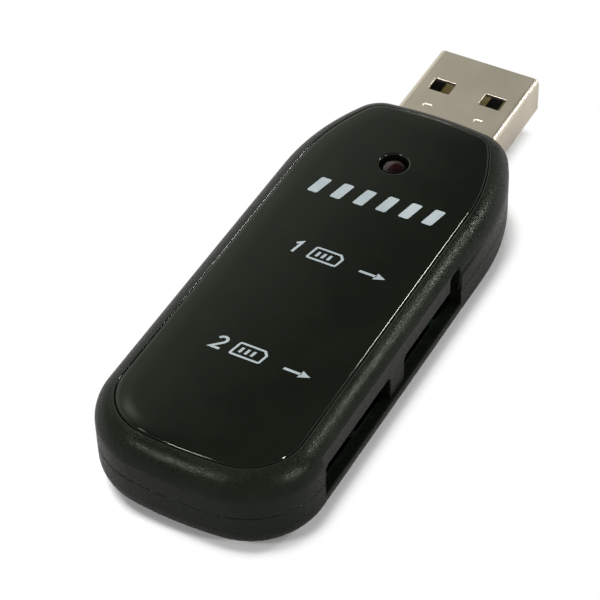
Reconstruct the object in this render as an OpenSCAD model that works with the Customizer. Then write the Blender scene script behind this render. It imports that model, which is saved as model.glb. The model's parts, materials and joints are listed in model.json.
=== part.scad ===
// Memory card reader in a stick-shaped case, with a type-A plug at one end and
// two card slots in its right-hand side.
// +Y points out of the plug, +X out of the card slots and +Z up. The origin is
// under the middle of the reader, on the surface that it lies on.

/* [Case] */
// Length of the case along its middle, without the plug
case_l = 57.8; // [56:0.2:64]
// Width of the case
case_w = 24; // [23.5:0.5:27]
// Height of the case, up to the face of the top panel
case_h = 10; // [9.8:0.1:11.5]
// Thickness of the side walls and the floor
wall = 1.4; // [1.2:0.1:1.8]
// Thickness of the roof under the top panel
roof_t = 1.1; // [0.8:0.1:1.3]
// Radius of the soft edge that runs round the case, above and below
edge_r = 3; // [2.4:0.1:3.2]
// How far behind the front the shoulders begin to draw in
shoulder_l = 14.2; // [13:0.2:16]
// Radius of the shoulders, seen from above
shoulder_r = 24; // [22:1:30]
// Radius of the slightly bowed front end, seen from above
front_bow_r = 45; // [40:1:60]
// Radius of the bowed rear end, seen from above
rear_bow_r = 40; // [34:1:60]
// Radius of the front corners, seen from above
front_corner_r = 4; // [3.6:0.1:4.6]
// Radius of the rear corners, seen from above
rear_corner_r = 8; // [5:0.5:9]

/* [Joint between the shells] */
// Height of the lip of the lower shell above the parting line
lip_h = 0.8; // [0.6:0.1:1]
// Distance from the outside of the case to the lip
lip_in = 0.7; // [0.6:0.05:0.8]
// Running gap between the two shells
shell_gap = 0.1; // [0.05:0.05:0.15]
// Radius of the snap beads on the lip
bead_r = 0.3; // [0.2:0.05:0.35]
// Length of a snap bead
bead_l = 3; // [2:0.5:3.5]
// Diameter of the locating pins of the lower shell
pin_d = 1.6; // [1.2:0.1:1.8]
// How far a pin stands up into its boss, above the board
pin_rise = 1.6; // [1:0.1:2]
// Radial gap round a pin in its boss
pin_gap = 0.05; // [0.05:0.01:0.1]
// Diameter of the bosses
boss_d = 3.4; // [3:0.1:3.6]
// Distance from the inside of the wall to the middle of a pin
pin_in = 3; // [2.6:0.1:3.4]
// Width of the ribs and posts that hold the board
rib_w = 1; // [0.8:0.1:1.4]

/* [Top panel] */
// Thickness of the glossy panel
panel_t = 0.9; // [0.7:0.1:1.1]
// Distance from the outside of the case to the edge of the panel
panel_margin = 2.2; // [2:0.1:2.8]
// Gap round the panel in its recess
panel_gap = 0.1; // [0.05:0.05:0.3]
// Radius of the rounded rim of the panel
panel_rim_r = 0.4; // [0.2:0.1:0.5]
// Radius of the front corners of the panel
panel_corner_r = 2.5; // [1.8:0.1:3]
// Diameter of the pegs under the panel
peg_d = 1.2; // [1:0.1:1.6]
// Distance from the middle line to the pegs
peg_x = 6; // [5:0.5:7]

/* [Plug] */
// Width of the plug
plug_w = 12; // [11.9:0.05:12.1]
// Height of the plug
plug_h = 4.5; // [4.4:0.05:4.6]
// Length of the plug outside the case
plug_out = 11.8; // [11.75:0.05:12.8]
// Length of the plug inside the case
plug_in = 6.6; // [6:0.1:7.2]
// Thickness of the plug's sheet metal
sheet = 0.3; // [0.25:0.01:0.35]
// Outer corner radius of the plug
plug_r = 0.6; // [0.5:0.05:0.7]
// Width of a latch window
window_w = 2.5; // [2.3:0.1:2.7]
// Length of a latch window along the plug
window_l = 2; // [1.8:0.1:2.2]
// Distance from the middle of the plug to the middle of a window
window_x = 3.05; // [2.8:0.05:3.2]
// Distance from the front of the plug to the middle of a window
window_back = 5.8; // [5:0.1:6.2]
// Distance from the window to the pressed mark behind it
mark_back = 3.6; // [3.2:0.1:4.2]
// Thickness of the plastic tongue
tongue_t = 1.84; // [1.79:0.01:1.89]
// How far the tongue stays behind the front of the plug
tongue_back = 0.9; // [0.5:0.1:1.2]
// Width of a contact of the plug
plug_contact_w = 1; // [0.8:0.1:1.2]
// Gap round the plug where it leaves the case
plug_gap = 0.1; // [0.05:0.05:0.2]

/* [Circuit board] */
// Thickness of the board
board_t = 1; // [0.8:0.1:1.2]
// Distance from the middle of the plug down to the underside of the board
board_drop = 1.8; // [1.6:0.1:1.9]
// Gap between the edge of the board and the walls
board_gap = 0.4; // [0.3:0.1:0.6]
// How far the board reaches beside the plug
board_arm = 4.2; // [3.6:0.1:4.6]
// Room between the controller under the board and the floor
floor_gap = 0.4; // [0.3:0.1:0.6]

/* [Card slots] */
// Width of the card that the front slot takes
front_card_w = 11; // [10.9:0.1:11.2]
// Thickness of the card that the front slot takes
front_card_t = 1; // [0.9:0.1:1.2]
// Width of the card that the rear slot takes
rear_card_w = 12.5; // [12.4:0.1:12.6]
// Thickness of the card that the rear slot takes
rear_card_t = 1.2; // [1:0.1:1.3]
// Length of both cards
card_l = 15; // [14.8:0.1:15.2]
// How far a seated card stands out of the case
card_proud = 1.5; // [1:0.1:2]
// Gap on each side of a card where it passes the case
slot_side = 0.4; // [0.3:0.05:0.45]
// Distance from the rear of the case to the recess round the slots
slots_from_rear = 8.4; // [8:0.1:9]
// Width of the web between the two slots
web_w = 3; // [2.6:0.1:3.4]
// Width of the post behind the rear slot
post_w = 0.8; // [0.6:0.1:1.2]
// How deep the flat face round the slots is cut into the side
facet_in = 0.35; // [0.3:0.05:0.5]
// Width of the tall notch at the front of the front slot
notch_w = 1.9; // [1.5:0.1:2.4]
// How far the tall notch passes the front slot
notch_over = 0.4; // [0.2:0.1:0.6]
// Radius in the upper corners of the slots
slot_corner_r = 0.6; // [0.3:0.1:0.8]
// Gap between a socket and the head of its slot
slot_head = 0.15; // [0.1:0.05:0.3]

/* [Card sockets] */
// Thickness of a socket's plastic base under the card
base_t = 0.45; // [0.4:0.05:0.5]
// Free height and width round a card in its socket
card_play = 0.15; // [0.1:0.05:0.2]
// Width of the plastic rails beside a card
rail_w = 0.8; // [0.6:0.1:0.9]
// Thickness of the metal cover
cover_t = 0.2; // [0.15:0.05:0.25]
// Number of contacts in the front socket
front_contacts_n = 8; // [6:1:9]
// Number of contacts in the rear socket
rear_contacts_n = 11; // [8:1:11]
// Distance from one contact to the next
contact_pitch = 1.05; // [1:0.05:1.1]

/* [Light] */
// Diameter of the lamp
lamp_d = 2.9; // [2.8:0.1:3.1]
// How far the top of the lamp stays below the face of the panel
lamp_sunk = 0.1; // [0.05:0.05:0.5]
// Radius of the low dome of the lamp
lamp_dome_r = 2.6; // [2:0.2:4]
// Diameter of the flange at the foot of the lamp
lamp_flange_d = 3.8; // [3.6:0.1:4]
// Distance from the rear end of the plug to the middle of the lamp
lamp_back = 4.1; // [4:0.1:5]
// How far the lamp is to the right of the middle line
lamp_x = -0.5; // [-1:0.1:1]
// Diameter of the countersink round the lamp
lamp_sink_d = 3.4; // [3.3:0.1:3.8]

/* [Hidden] */
$fn = 48;

// How far a cutting shape passes the face that it cuts
over = 1;
// How far a rib, post or boss is sunk into the wall that carries it
root = 0.3;

// Places along the reader, from the middle of its whole length
front_y = (case_l + plug_out) / 2 - plug_out;
rear_y = front_y - case_l;
plug_front_y = front_y + plug_out;
plug_rear_y = front_y - plug_in;
shoulder_y = front_y - shoulder_l;

// Heights
split_z = case_h / 2;
roof_z = case_h - panel_t - roof_t;
recess_z = case_h - panel_t;
board_z = split_z - board_drop;
board_top = board_z + board_t;
plug_low = split_z - plug_h / 2;
plug_top = split_z + plug_h / 2;
tongue_top = plug_low + sheet + tongue_t;
front_socket_h = base_t + front_card_t + card_play + cover_t;
rear_socket_h = base_t + rear_card_t + card_play + cover_t;
slot_top = board_top + max(front_socket_h, rear_socket_h) + slot_head;

// The slots, from the rear forwards
inner_r = edge_r - wall;
slots_y0 = rear_y + slots_from_rear;
rear_slot_w = rear_card_w + 2 * slot_side;
front_slot_w = front_card_w + 2 * slot_side;
rear_slot_y = slots_y0 + post_w + rear_slot_w / 2;
web_y = slots_y0 + post_w + rear_slot_w + web_w / 2;
front_slot_y = web_y + web_w / 2 + front_slot_w / 2;
slots_y1 = front_slot_y + front_slot_w / 2 + notch_over;
facet_x = case_w / 2 - facet_in;
notch_top = roof_z + 0.2;
web_gap = 0.12;
web_t = wall;

// The sockets, from the mouth inwards
board_side_x = case_w / 2 - wall - board_gap;
mouth_x = board_side_x - 0.2;
card_end_x = facet_x + card_proud - card_l;
stop_w = 1;
socket_back_x = card_end_x - card_play - stop_w;
contact_tail_l = 0.9;
contact_t = 0.12;
contact_w = 0.4;
contact_lift = 0.3;
contact_flat = 0.4;
contact_reach = 2.4;
contact_tip_l = 0.9;
contact_top_x = card_end_x + contact_reach;
contact_tip_x = contact_top_x + contact_tip_l;
slit_gap = 0.1;
lead_in_w = 0.3;
foot = [1.4, 0.5];
cover_hole = [2.6, 1.6];
cover_hole_in = 3.2;
cover_spring = [4, 1.8];
cover_spring_in = 2;
cover_slit = 0.25;
switch_size = [1, 0.5, 1.2];
switch_t = 0.15;

// The folded shell, the tongue and the contacts of the plug
cavity_w = plug_w - 2 * sheet;
mark_size = [1, 0.6];
wing = [1.5, 2.4];
seam_gap = 0.06;
seam_neck = 0.9;
seam_head = 1.5;
seam_out = 1.1;
block_l = 4.6;
block_in = 1.5;
tongue_nose = 0.5;
tongue_corner = 0.4;
tongue_slack = 0.02;
outer_contact_back = 0.6;
inner_contact_back = 1.6;
contact_foot_l = 0.9;
contact_drop_l = 0.8;
plug_contact_xs = [-3.5, -1, 1, 3.5];
plug_contact_t = 0.2;
contact_proud = 0.06;

// The lamp, the pins, the pegs, the ribs and the beads
lamp_y = plug_rear_y - lamp_back;
lamp_gap = 0.1;
lamp_h = case_h - lamp_sunk - board_top;
lamp_flange_h = 1;
lead_pitch = 2.54;
lead_w = 0.5;
pin_x = case_w / 2 - wall - pin_in;
pin_y = (plug_rear_y + slots_y1) / 2;
rear_pin_y = rear_y + wall + pin_in;
pins = [[-pin_x, pin_y], [pin_x, pin_y], [0, rear_pin_y]];
pin_shoulder = 0.6;
peg_gap = 0.05;
pegs = [for (x = [-peg_x, peg_x], y = [(rear_pin_y + slots_y0) / 2, (pin_y + slots_y1) / 2])
    [x, y]];
rib_n = 5;
rib_y0 = rear_y + rear_corner_r;
rib_y1 = shoulder_y - rib_w;
rib_ys = [for (k = [0:rib_n - 1]) rib_y0 + k * (rib_y1 - rib_y0) / (rib_n - 1)];
rib_out = 1.4;
bead_spots = [[-1, rear_slot_y], [-1, front_slot_y], [1, slots_y1 + wall + bead_l / 2]];

// Small parts in a column on the board beside the sockets, from the front
// backwards, each with the room that it takes along the board
column_x = (socket_back_x - contact_tail_l - board_side_x) / 2;
column = [["resistor", 2], ["resistor", 2], ["regulator", 4], ["capacitor", 2.4],
    ["capacitor", 2.4], ["crystal", 5], ["resistor", 2], ["resistor", 2], ["resistor", 2],
    ["resistor", 2], ["capacitor", 2.4], ["capacitor", 2.4]];
chip_size = [2, 1.25];
capacitor_h = 1.1;
resistor_h = 0.5;
terminal_l = 0.35;
crystal_size = [2.5, 3.2];
crystal_h = 1.2;
regulator_size = [1.5, 2.9];
regulator_h = 1.1;
stand_off = 0.1;

// The controller under the board
controller_y = (front_slot_y + rear_slot_y) / 2;
controller_w = 7;
controller_h = board_z - wall - floor_gap - stand_off;
controller_draft = 0.15;
controller_n = 12;
controller_pitch = 0.5;
controller_lead = [1, 0.22, 0.13];

function room_before(k) = k == 0 ? 0 : room_before(k - 1) + column[k - 1][1];

// Places along the board of all small parts of one kind
function column_ys(kind) =
    [for (k = [0:len(column) - 1]) if (column[k][0] == kind)
        slots_y1 - room_before(k) - column[k][1] / 2];

function direction(v) = atan2(v.y, v.x);

function arc(centre, r, a0, a1, n) =
    [for (k = [0:n]) let (a = a0 + (a1 - a0) * k / n) centre + r * [cos(a), sin(a)]];

function tail(list) = [for (k = [1:len(list) - 1]) list[k]];

// The crossing of two circles that lies to the left of the way from p to q
function crossing(p, rp, q, rq) =
    let (d = norm(q - p), u = (q - p) / d, m = (d * d + rp * rp - rq * rq) / (2 * d))
    p + m * u + sqrt(rp * rp - m * m) * [-u.y, u.x];

// Right half of the case seen from above, drawn in by a margin, from the
// middle of the front round to the middle of the rear
function half_outline(inset, rf, rr) =
    let (
        front = [0, front_y - front_bow_r],
        rear = [0, rear_y + rear_bow_r],
        side = [case_w / 2 - shoulder_r, shoulder_y],
        corner = crossing(side, shoulder_r - inset - rf, front, front_bow_r - inset - rf),
        tail_x = case_w / 2 - inset - rr,
        heel = [tail_x, rear.y - sqrt(pow(rear_bow_r - inset - rr, 2) - tail_x * tail_x)],
        a_front = direction(corner - front),
        a_side = direction(corner - side),
        a_rear = direction(heel - rear)
    )
    concat(
        arc(front, front_bow_r - inset, 90, a_front, 4),
        tail(arc(corner, rf, a_front, a_side, 10)),
        tail(arc(side, shoulder_r - inset, a_side, 0, 8)),
        arc(heel, rr, 0, a_rear, 14),
        tail(arc(rear, rear_bow_r - inset, a_rear, -90, 4))
    );

function mirrored(half) =
    concat(half, [for (k = [len(half) - 2:-1:1]) [-half[k].x, half[k].y]]);

// Outline of the case, drawn in by a margin
function outline(inset) =
    mirrored(half_outline(inset, front_corner_r - inset, rear_corner_r - inset));

// Outline of the panel, with its own front corners
function panel_outline(inset) =
    mirrored(half_outline(panel_margin + inset, panel_corner_r - inset,
        rear_corner_r - panel_margin - inset));

// Height and inset of each ring of a rounded edge, from the wall to the flat
function edge_rings(r, steps) =
    [for (k = [0:steps]) let (a = 90 * k / steps) [r * (1 - sin(a)), r * (1 - cos(a))]];

// Solid through a stack of outlines; each ring is its height and its points
module loft(rings) {
    n = len(rings[0][1]);
    m = len(rings);
    points = [for (ring = rings, p = ring[1]) [p.x, p.y, ring[0]]];
    sides = [for (j = [0:m - 2], k = [0:n - 1])
        [j * n + k, j * n + (k + 1) % n, (j + 1) * n + (k + 1) % n, (j + 1) * n + k]];
    floor_face = [for (k = [n - 1:-1:0]) k];
    roof_face = [for (k = [0:n - 1]) (m - 1) * n + k];
    polyhedron(points, concat([floor_face], sides, [roof_face]), convexity = 4);
}

// Form of the case from one height to another, drawn in by a margin, with a
// rounded edge below, above or at neither
module case_form(z0, z1, inset, low_r, high_r) {
    steps = 10;
    low = low_r > 0
        ? [for (e = edge_rings(low_r, steps)) [z0 + e[0], outline(inset + e[1])]]
        : [[z0, outline(inset)]];
    high = high_r > 0
        ? [for (e = edge_rings(high_r, steps)) [z1 - e[0], outline(inset + e[1])]]
        : [[z1, outline(inset)]];
    loft(concat([for (k = [len(low) - 1:-1:0]) low[k]], high));
}

// Rectangle with round corners, about its middle
module round_rect(w, h, r) {
    square([w - 2 * r, h], center = true);
    square([w, h - 2 * r], center = true);
    for (x = [-1, 1], y = [-1, 1])
        translate([x * (w / 2 - r), y * (h / 2 - r)]) circle(r);
}

// Draws a shape of the X and Z directions out from y0 to y1
module along_y(y0, y1) {
    translate([0, y1, 0]) rotate([90, 0, 0]) linear_extrude(y1 - y0) children();
}

// Draws a shape of the Y and Z directions out from x0 to x1
module along_x(x0, x1) {
    translate([x0, 0, 0]) rotate([90, 0, 90]) linear_extrude(x1 - x0) children();
}

module box(x, y, z) {
    translate([x[0], y[0], z[0]]) cube([x[1] - x[0], y[1] - y[0], z[1] - z[0]]);
}

// Hole for the plug through the front of the case
module plug_opening() {
    along_y(plug_rear_y - over, front_y + over)
        translate([0, split_z])
            round_rect(plug_w + 2 * plug_gap, plug_h + 2 * plug_gap, plug_r + plug_gap);
}

// Slots and web as an upright pattern in Y and Z: what is cut away
module slot_pattern() {
    low = board_z - over - slot_corner_r;
    for (s = [[front_slot_y, front_slot_w], [rear_slot_y, rear_slot_w]])
        translate([s[0], (slot_top + low) / 2])
            round_rect(s[1], slot_top - low, slot_corner_r);
    translate([slots_y1 - notch_w / 2, (notch_top + low) / 2])
        round_rect(notch_w, notch_top - low, slot_corner_r);
    translate([slots_y0 - over, low]) square([post_w + 2 * over, split_z - low]);
}

// Black moulding that carries the panel, with the slots in its right-hand wall
module upper_shell() {
    color([0.07, 0.07, 0.075])
    difference() {
        union() {
            difference() {
                union() {
                    case_form(split_z, case_h, 0, 0, edge_r);
                    box([facet_x - web_t, facet_x + facet_in], [slots_y0, slots_y1],
                        [board_z + web_gap, split_z + lip_h]);
                }
                case_form(board_z - over, roof_z, wall, 0, inner_r);
                lip_rebate();
                along_x(mouth_x, case_w) slot_pattern();
                box([facet_x, case_w], [slots_y0, slots_y1], [0, case_h]);
            }
            bosses();
            plug_clamp();
            board_posts();
        }
        translate([0, 0, recess_z])
            linear_extrude(case_h) polygon(panel_outline(-panel_gap));
        plug_opening();
        for (p = pins)
            translate([p.x, p.y, board_top - over])
                cylinder(r = pin_d / 2 + pin_gap, h = over + pin_rise + 2 * pin_gap);
        for (p = pegs) translate([p.x, p.y, 0]) cylinder(r = peg_d / 2 + peg_gap, h = case_h);
        lamp_hole();
        for (b = bead_spots) snap_bead(b, shell_gap);
    }
}

// Room in the upper shell for the lip of the lower one
module lip_rebate() {
    difference() {
        translate([0, 0, split_z - over])
            linear_extrude(over + lip_h + shell_gap) polygon(outline(lip_in - shell_gap));
        box([0, case_w], [slots_y0, slots_y1], [0, case_h]);
    }
}

// Hole for the lamp through the roof and the panel
module lamp_hole() {
    translate([lamp_x, lamp_y, 0]) cylinder(r = lamp_d / 2 + lamp_gap, h = case_h + over);
}

// Bosses of the upper shell, which press on the board round the pins
module bosses() {
    for (p = pins)
        translate([p.x, p.y, board_top]) cylinder(d = boss_d, h = roof_z - board_top + root);
}

// Shape, seen from above, of the blocks that hold the plug from both sides
module plug_block(z0, z1) {
    box([block_in - plug_w / 2, plug_w / 2 - block_in], [plug_rear_y + block_in, front_y - wall],
        [z0, z1]);
}

// Block of the upper shell that holds the plug down
module plug_clamp() {
    plug_block(plug_top, roof_z + root);
}

// Posts of the upper shell on the board's left-hand edge
module board_posts() {
    for (k = [0:2:rib_n - 1])
        box([-board_side_x - board_gap + root / 2, rib_out - board_side_x - board_gap],
            [rib_ys[k] - rib_w / 2, rib_ys[k] + rib_w / 2], [board_top, roof_z + root]);
}

// Bead that snaps the shells together, with a margin for its pocket
module snap_bead(spot, margin) {
    translate([spot.x * (case_w / 2 - lip_in), spot.y, split_z + lip_h / 2])
        rotate([90, 0, 0])
            cylinder(r = bead_r + margin, h = bead_l + 2 * margin, center = true);
}

// Black tray with the sill of the slots, the board's ribs, pins and plug cradle
module lower_shell() {
    color([0.07, 0.07, 0.075])
    difference() {
        union() {
            difference() {
                case_form(0, split_z + lip_h, 0, edge_r, 0);
                case_form(wall, case_h, wall, inner_r, 0);
                translate([0, 0, split_z])
                    linear_extrude(case_h) difference() {
                        polygon(outline(-over));
                        polygon(outline(lip_in));
                    }
                box([mouth_x, case_w], [slots_y0, slots_y1], [board_z, case_h]);
            }
            board_ribs();
            locating_pins();
            plug_cradle();
            for (b = bead_spots) snap_bead(b, 0);
        }
        plug_opening();
    }
}

// Ribs of the lower shell that the board lies on
module board_ribs() {
    inside = case_w / 2 - wall;
    for (y = rib_ys, s = [-1, 1])
        translate([s * (inside + root - (rib_out + root) / 2), y, (board_z + wall - root) / 2])
            cube([rib_out + root, rib_w, board_z - wall + root], center = true);
}

// Pins of the lower shell, each with a shoulder under the board
module locating_pins() {
    for (p = pins) translate([p.x, p.y, wall - root]) {
        cylinder(r = pin_d / 2 + pin_shoulder, h = board_z - wall + root);
        cylinder(d = pin_d, h = board_top + pin_rise - wall + root);
    }
}

// Block of the lower shell that the plug lies on
module plug_cradle() {
    plug_block(wall - root, plug_low);
}

// Glossy panel with a countersunk hole for the lamp and pegs into the roof
module top_panel() {
    color([0.03, 0.03, 0.035])
    difference() {
        union() {
            loft(concat(
                [[recess_z, panel_outline(0)]],
                [for (e = edge_rings(panel_rim_r, 4)) [case_h - e[0], panel_outline(e[1])]]
            ));
            for (p = pegs)
                translate([p.x, p.y, roof_z]) cylinder(d = peg_d, h = roof_t + root);
        }
        lamp_hole();
        countersink();
    }
}

// Cone that opens the lamp's hole at the face of the panel
module countersink() {
    hole_d = lamp_d + 2 * lamp_gap;
    translate([lamp_x, lamp_y, case_h - panel_t / 2])
        cylinder(d1 = hole_d, d2 = 2 * lamp_sink_d - hole_d, h = panel_t);
}

// Folded sheet-metal shell of the plug, with its windows, marks and wings
module plug_shell() {
    color([0.62, 0.60, 0.56])
    difference() {
        union() {
            along_y(plug_rear_y, plug_front_y) translate([0, split_z])
                round_rect(plug_w, plug_h, plug_r);
            for (s = [-1, 1]) plug_wing(s);
        }
        along_y(plug_rear_y - over, plug_front_y + over) translate([0, split_z])
            round_rect(cavity_w, plug_h - 2 * sheet, plug_r - sheet);
        for (s = [-1, 1]) {
            translate([s * window_x, plug_front_y - window_back, split_z])
                cube([window_w, window_l, plug_h + over], center = true);
            for (z = [plug_low, plug_top])
                translate([s * window_x, plug_front_y - window_back - mark_back, z])
                    cube([mark_size.x, mark_size.y, sheet], center = true);
        }
        plug_seam();
    }
}

// Wing beside the plug, which is soldered to the board
module plug_wing(s) {
    translate([s * (plug_w / 2 + wing.x / 2 - sheet / 2), plug_rear_y + 0.9 * wing.y,
        board_top + sheet / 2])
        cube([wing.x + sheet, wing.y, sheet], center = true);
}

// Seam under the plug, where the sheet's two ends meet in a dovetail
module plug_seam() {
    y = plug_front_y - window_back - mark_back / 2;
    path = [[0, plug_rear_y - over], [0, y - seam_neck], [seam_out, y - seam_head],
        [seam_out, y + seam_head], [0, y + seam_neck], [0, plug_front_y + over]];
    translate([0, 0, plug_low - over]) linear_extrude(over + 1.5 * sheet)
        for (k = [1:len(path) - 1]) {
            step = path[k] - path[k - 1];
            translate(path[k - 1]) rotate(direction(step))
                translate([-seam_gap / 2, -seam_gap / 2])
                    square([norm(step) + seam_gap, seam_gap]);
        }
}

// How far the front end of a contact stays behind the front of the tongue
function contact_back(x) =
    abs(x) == plug_contact_xs[3] ? outer_contact_back : inner_contact_back;

// Plastic block and tongue inside the plug
module plug_tongue() {
    w = cavity_w - plug_gap;
    low = plug_low + sheet;
    high = plug_top - sheet - plug_gap / 2;
    y0 = plug_rear_y + sheet;
    y1 = plug_front_y - tongue_back;
    half = plug_contact_w / 2 + tongue_slack;
    slot_z = tongue_top + contact_proud;
    color([0.06, 0.06, 0.065])
    difference() {
        intersection() {
            along_x(-w / 2, w / 2)
                polygon([[y0, low], [y1 - tongue_nose, low], [y1, low + tongue_nose],
                    [y1, tongue_top - tongue_nose], [y1 - tongue_nose, tongue_top],
                    [y0 + block_l, tongue_top], [y0 + block_l, high], [y0, high]]);
            along_y(y0 - over, y1 + over) translate([0, split_z])
                round_rect(w, plug_h - 2 * sheet, plug_r - sheet);
        }
        for (x = [-w / 2, w / 2])
            translate([x, y1, low + tongue_t / 2])
                cube([2 * tongue_corner, 3 * tongue_corner, tongue_t + over], center = true);
        for (x = plug_contact_xs)
            box([x - half, x + half], [y0 - over, y1 - contact_back(x) + tongue_slack],
                [slot_z - plug_contact_t, slot_z + tongue_slack]);
    }
}

// Four gold contacts on the tongue, with tails down to the board
module plug_contacts() {
    z1 = tongue_top + contact_proud;
    z0 = z1 - plug_contact_t;
    bend_y = plug_rear_y - sheet;
    foot_y = bend_y - contact_drop_l;
    tip_y = foot_y - contact_foot_l;
    color([0.83, 0.66, 0.30])
    for (x = plug_contact_xs) {
        y1 = plug_front_y - tongue_back - contact_back(x);
        along_x(x - plug_contact_w / 2, x + plug_contact_w / 2)
            polygon([[tip_y, board_top], [foot_y + 0.1, board_top], [bend_y, z0], [y1, z0],
                [y1, z1 - 0.1], [y1 - 0.15, z1], [bend_y - 0.1, z1],
                [foot_y, board_top + plug_contact_t], [tip_y, board_top + plug_contact_t]]);
    }
}

// Green board that follows the walls, with room for the plug and holes
module circuit_board() {
    color([0.05, 0.28, 0.12])
    translate([0, 0, board_z])
    linear_extrude(board_t) difference() {
        intersection() {
            polygon(outline(wall + board_gap));
            translate([-case_w, rear_y]) square([2 * case_w, case_l - plug_in + board_arm]);
        }
        translate([-plug_w / 2 - plug_gap, plug_rear_y - plug_gap])
            square([plug_w + 2 * plug_gap, case_l]);
        for (p = pins) translate(p) circle(r = pin_d / 2 + 2 * pin_gap);
        for (s = [-1, 1])
            translate([lamp_x + s * lead_pitch / 2, lamp_y]) circle(d = 1.8 * lead_w);
    }
}

// Plastic base of a card socket, open at its mouth and on top
module socket_base(y, card_w, card_t, n) {
    bay = card_w / 2 + card_play;
    low = board_top;
    top = low + base_t + card_t + card_play;
    color([0.06, 0.06, 0.065])
    difference() {
        box([socket_back_x, mouth_x], [y - bay - rail_w, y + bay + rail_w], [low, top]);
        box([card_end_x - card_play, mouth_x + over], [y - bay, y + bay],
            [low + base_t, top + over]);
        for (c = contact_ys(y, n))
            box([socket_back_x - over, contact_tip_x + contact_w],
                [c - contact_w / 2 - slit_gap, c + contact_w / 2 + slit_gap],
                [low - over, low + base_t + contact_t]);
        lead_in(y, bay, low + base_t);
    }
}

// Chamfer at the mouth of a socket, which leads a card in
module lead_in(y, bay, z) {
    translate([mouth_x, y, z]) rotate([0, 45, 0])
        cube([lead_in_w, 2 * bay, lead_in_w], center = true);
}

function contact_ys(y, n) = [for (k = [0:n - 1]) y + (k - (n - 1) / 2) * contact_pitch];

// Spring contacts of a card socket, soldered to the board behind it
module socket_contacts(y, n) {
    rise = base_t + contact_lift;
    low = [[socket_back_x - contact_tail_l, 0], [socket_back_x + contact_w, 0],
        [contact_top_x - contact_flat, rise], [contact_top_x, rise],
        [contact_tip_x, base_t - contact_t]];
    high = [for (k = [len(low) - 1:-1:0]) low[k] + [0, contact_t]];
    color([0.83, 0.66, 0.30])
    for (c = contact_ys(y, n))
        translate([0, c + contact_w / 2, board_top]) rotate([90, 0, 0])
            linear_extrude(contact_w) polygon(concat(low, high));
}

// Folded metal cover of a card socket, with feet on the board
module socket_cover(y, card_w, card_t) {
    side = card_w / 2 + card_play + rail_w;
    top = board_top + base_t + card_t + card_play;
    color([0.72, 0.72, 0.70]) {
        difference() {
            box([socket_back_x, mouth_x], [y - side - cover_t, y + side + cover_t],
                [board_top, top + cover_t]);
            box([socket_back_x - over, mouth_x + over], [y - side, y + side],
                [board_top - over, top]);
            for (s = [-1, 1]) {
                translate([mouth_x - cover_hole_in, y + s * side / 2, top])
                    cube([cover_hole.x, cover_hole.y, 4 * cover_t], center = true);
                cover_spring_slit(y + s * side / 2, top);
            }
        }
        for (s = [-1, 1], x = [socket_back_x + foot.x, mouth_x - foot.x])
            translate([x, y + s * (side + (cover_t + foot.y) / 2), board_top + cover_t / 2])
                cube([foot.x, cover_t + foot.y, cover_t], center = true);
    }
}

// U-shaped slit that frees a spring tongue in a cover
module cover_spring_slit(y, z) {
    x0 = socket_back_x + cover_spring_in;
    x1 = x0 + cover_spring.x;
    w = cover_spring.y / 2;
    difference() {
        box([x0, x1], [y - w, y + w], [z - over / 2, z + over / 2]);
        box([x0 - over, x1 - cover_slit], [y - w + cover_slit, y + w - cover_slit],
            [z - over, z + over]);
    }
}

module front_socket_base() {
    socket_base(front_slot_y, front_card_w, front_card_t, front_contacts_n);
}

module front_socket_contacts() {
    socket_contacts(front_slot_y, front_contacts_n);
}

module front_socket_cover() {
    socket_cover(front_slot_y, front_card_w, front_card_t);
}

module rear_socket_base() {
    socket_base(rear_slot_y, rear_card_w, rear_card_t, rear_contacts_n);
}

module rear_socket_contacts() {
    socket_contacts(rear_slot_y, rear_contacts_n);
}

module rear_socket_cover() {
    socket_cover(rear_slot_y, rear_card_w, rear_card_t);
}

// Bent springs behind the sockets that sense a seated card
module card_switches() {
    color([0.83, 0.66, 0.30])
    for (s = [[front_slot_y, front_card_w], [rear_slot_y, rear_card_w]])
        translate([socket_back_x - switch_t - switch_size.x, s[0] + s[1] / 2 + card_play,
            board_top]) {
            cube([switch_size.x, switch_size.y, switch_t]);
            cube([switch_t, switch_size.y, switch_size.z]);
        }
}

// Round red lamp, which stands on the board, with its flange and its low dome
module status_lamp() {
    color([0.45, 0.03, 0.03])
    translate([lamp_x, lamp_y, board_top]) {
        intersection() {
            cylinder(d = lamp_d, h = lamp_h);
            translate([0, 0, lamp_h - lamp_dome_r]) sphere(lamp_dome_r, $fn = 96);
        }
        cylinder(d = lamp_d, h = lamp_h - lamp_dome_r);
        cylinder(d = lamp_flange_d, h = lamp_flange_h);
    }
}

// Two leads of the lamp, through the board
module lamp_leads() {
    low = (wall + board_z) / 2;
    color([0.75, 0.75, 0.73])
    for (s = [-1, 1])
        translate([lamp_x + s * lead_pitch / 2, lamp_y, 0])
            box([-lead_w / 2, lead_w / 2], [-lead_w / 2, lead_w / 2], [low, board_top]);
}

// Flat black controller under the board
module controller_chip() {
    w = controller_w / 2;
    high = board_z - stand_off;
    low = high - controller_h;
    color([0.10, 0.10, 0.11])
    difference() {
        loft([[low, square_ring(w - controller_draft)], [(low + high) / 2, square_ring(w)],
            [high, square_ring(w - controller_draft)]]);
        translate([over - w, controller_y + over - w, low - over])
            cylinder(d = 0.8, h = over + 0.1);
    }
}

function square_ring(w) =
    [for (c = [[-1, 1], [1, 1], [1, -1], [-1, -1]]) [c.x * w, controller_y + c.y * w]];

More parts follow.
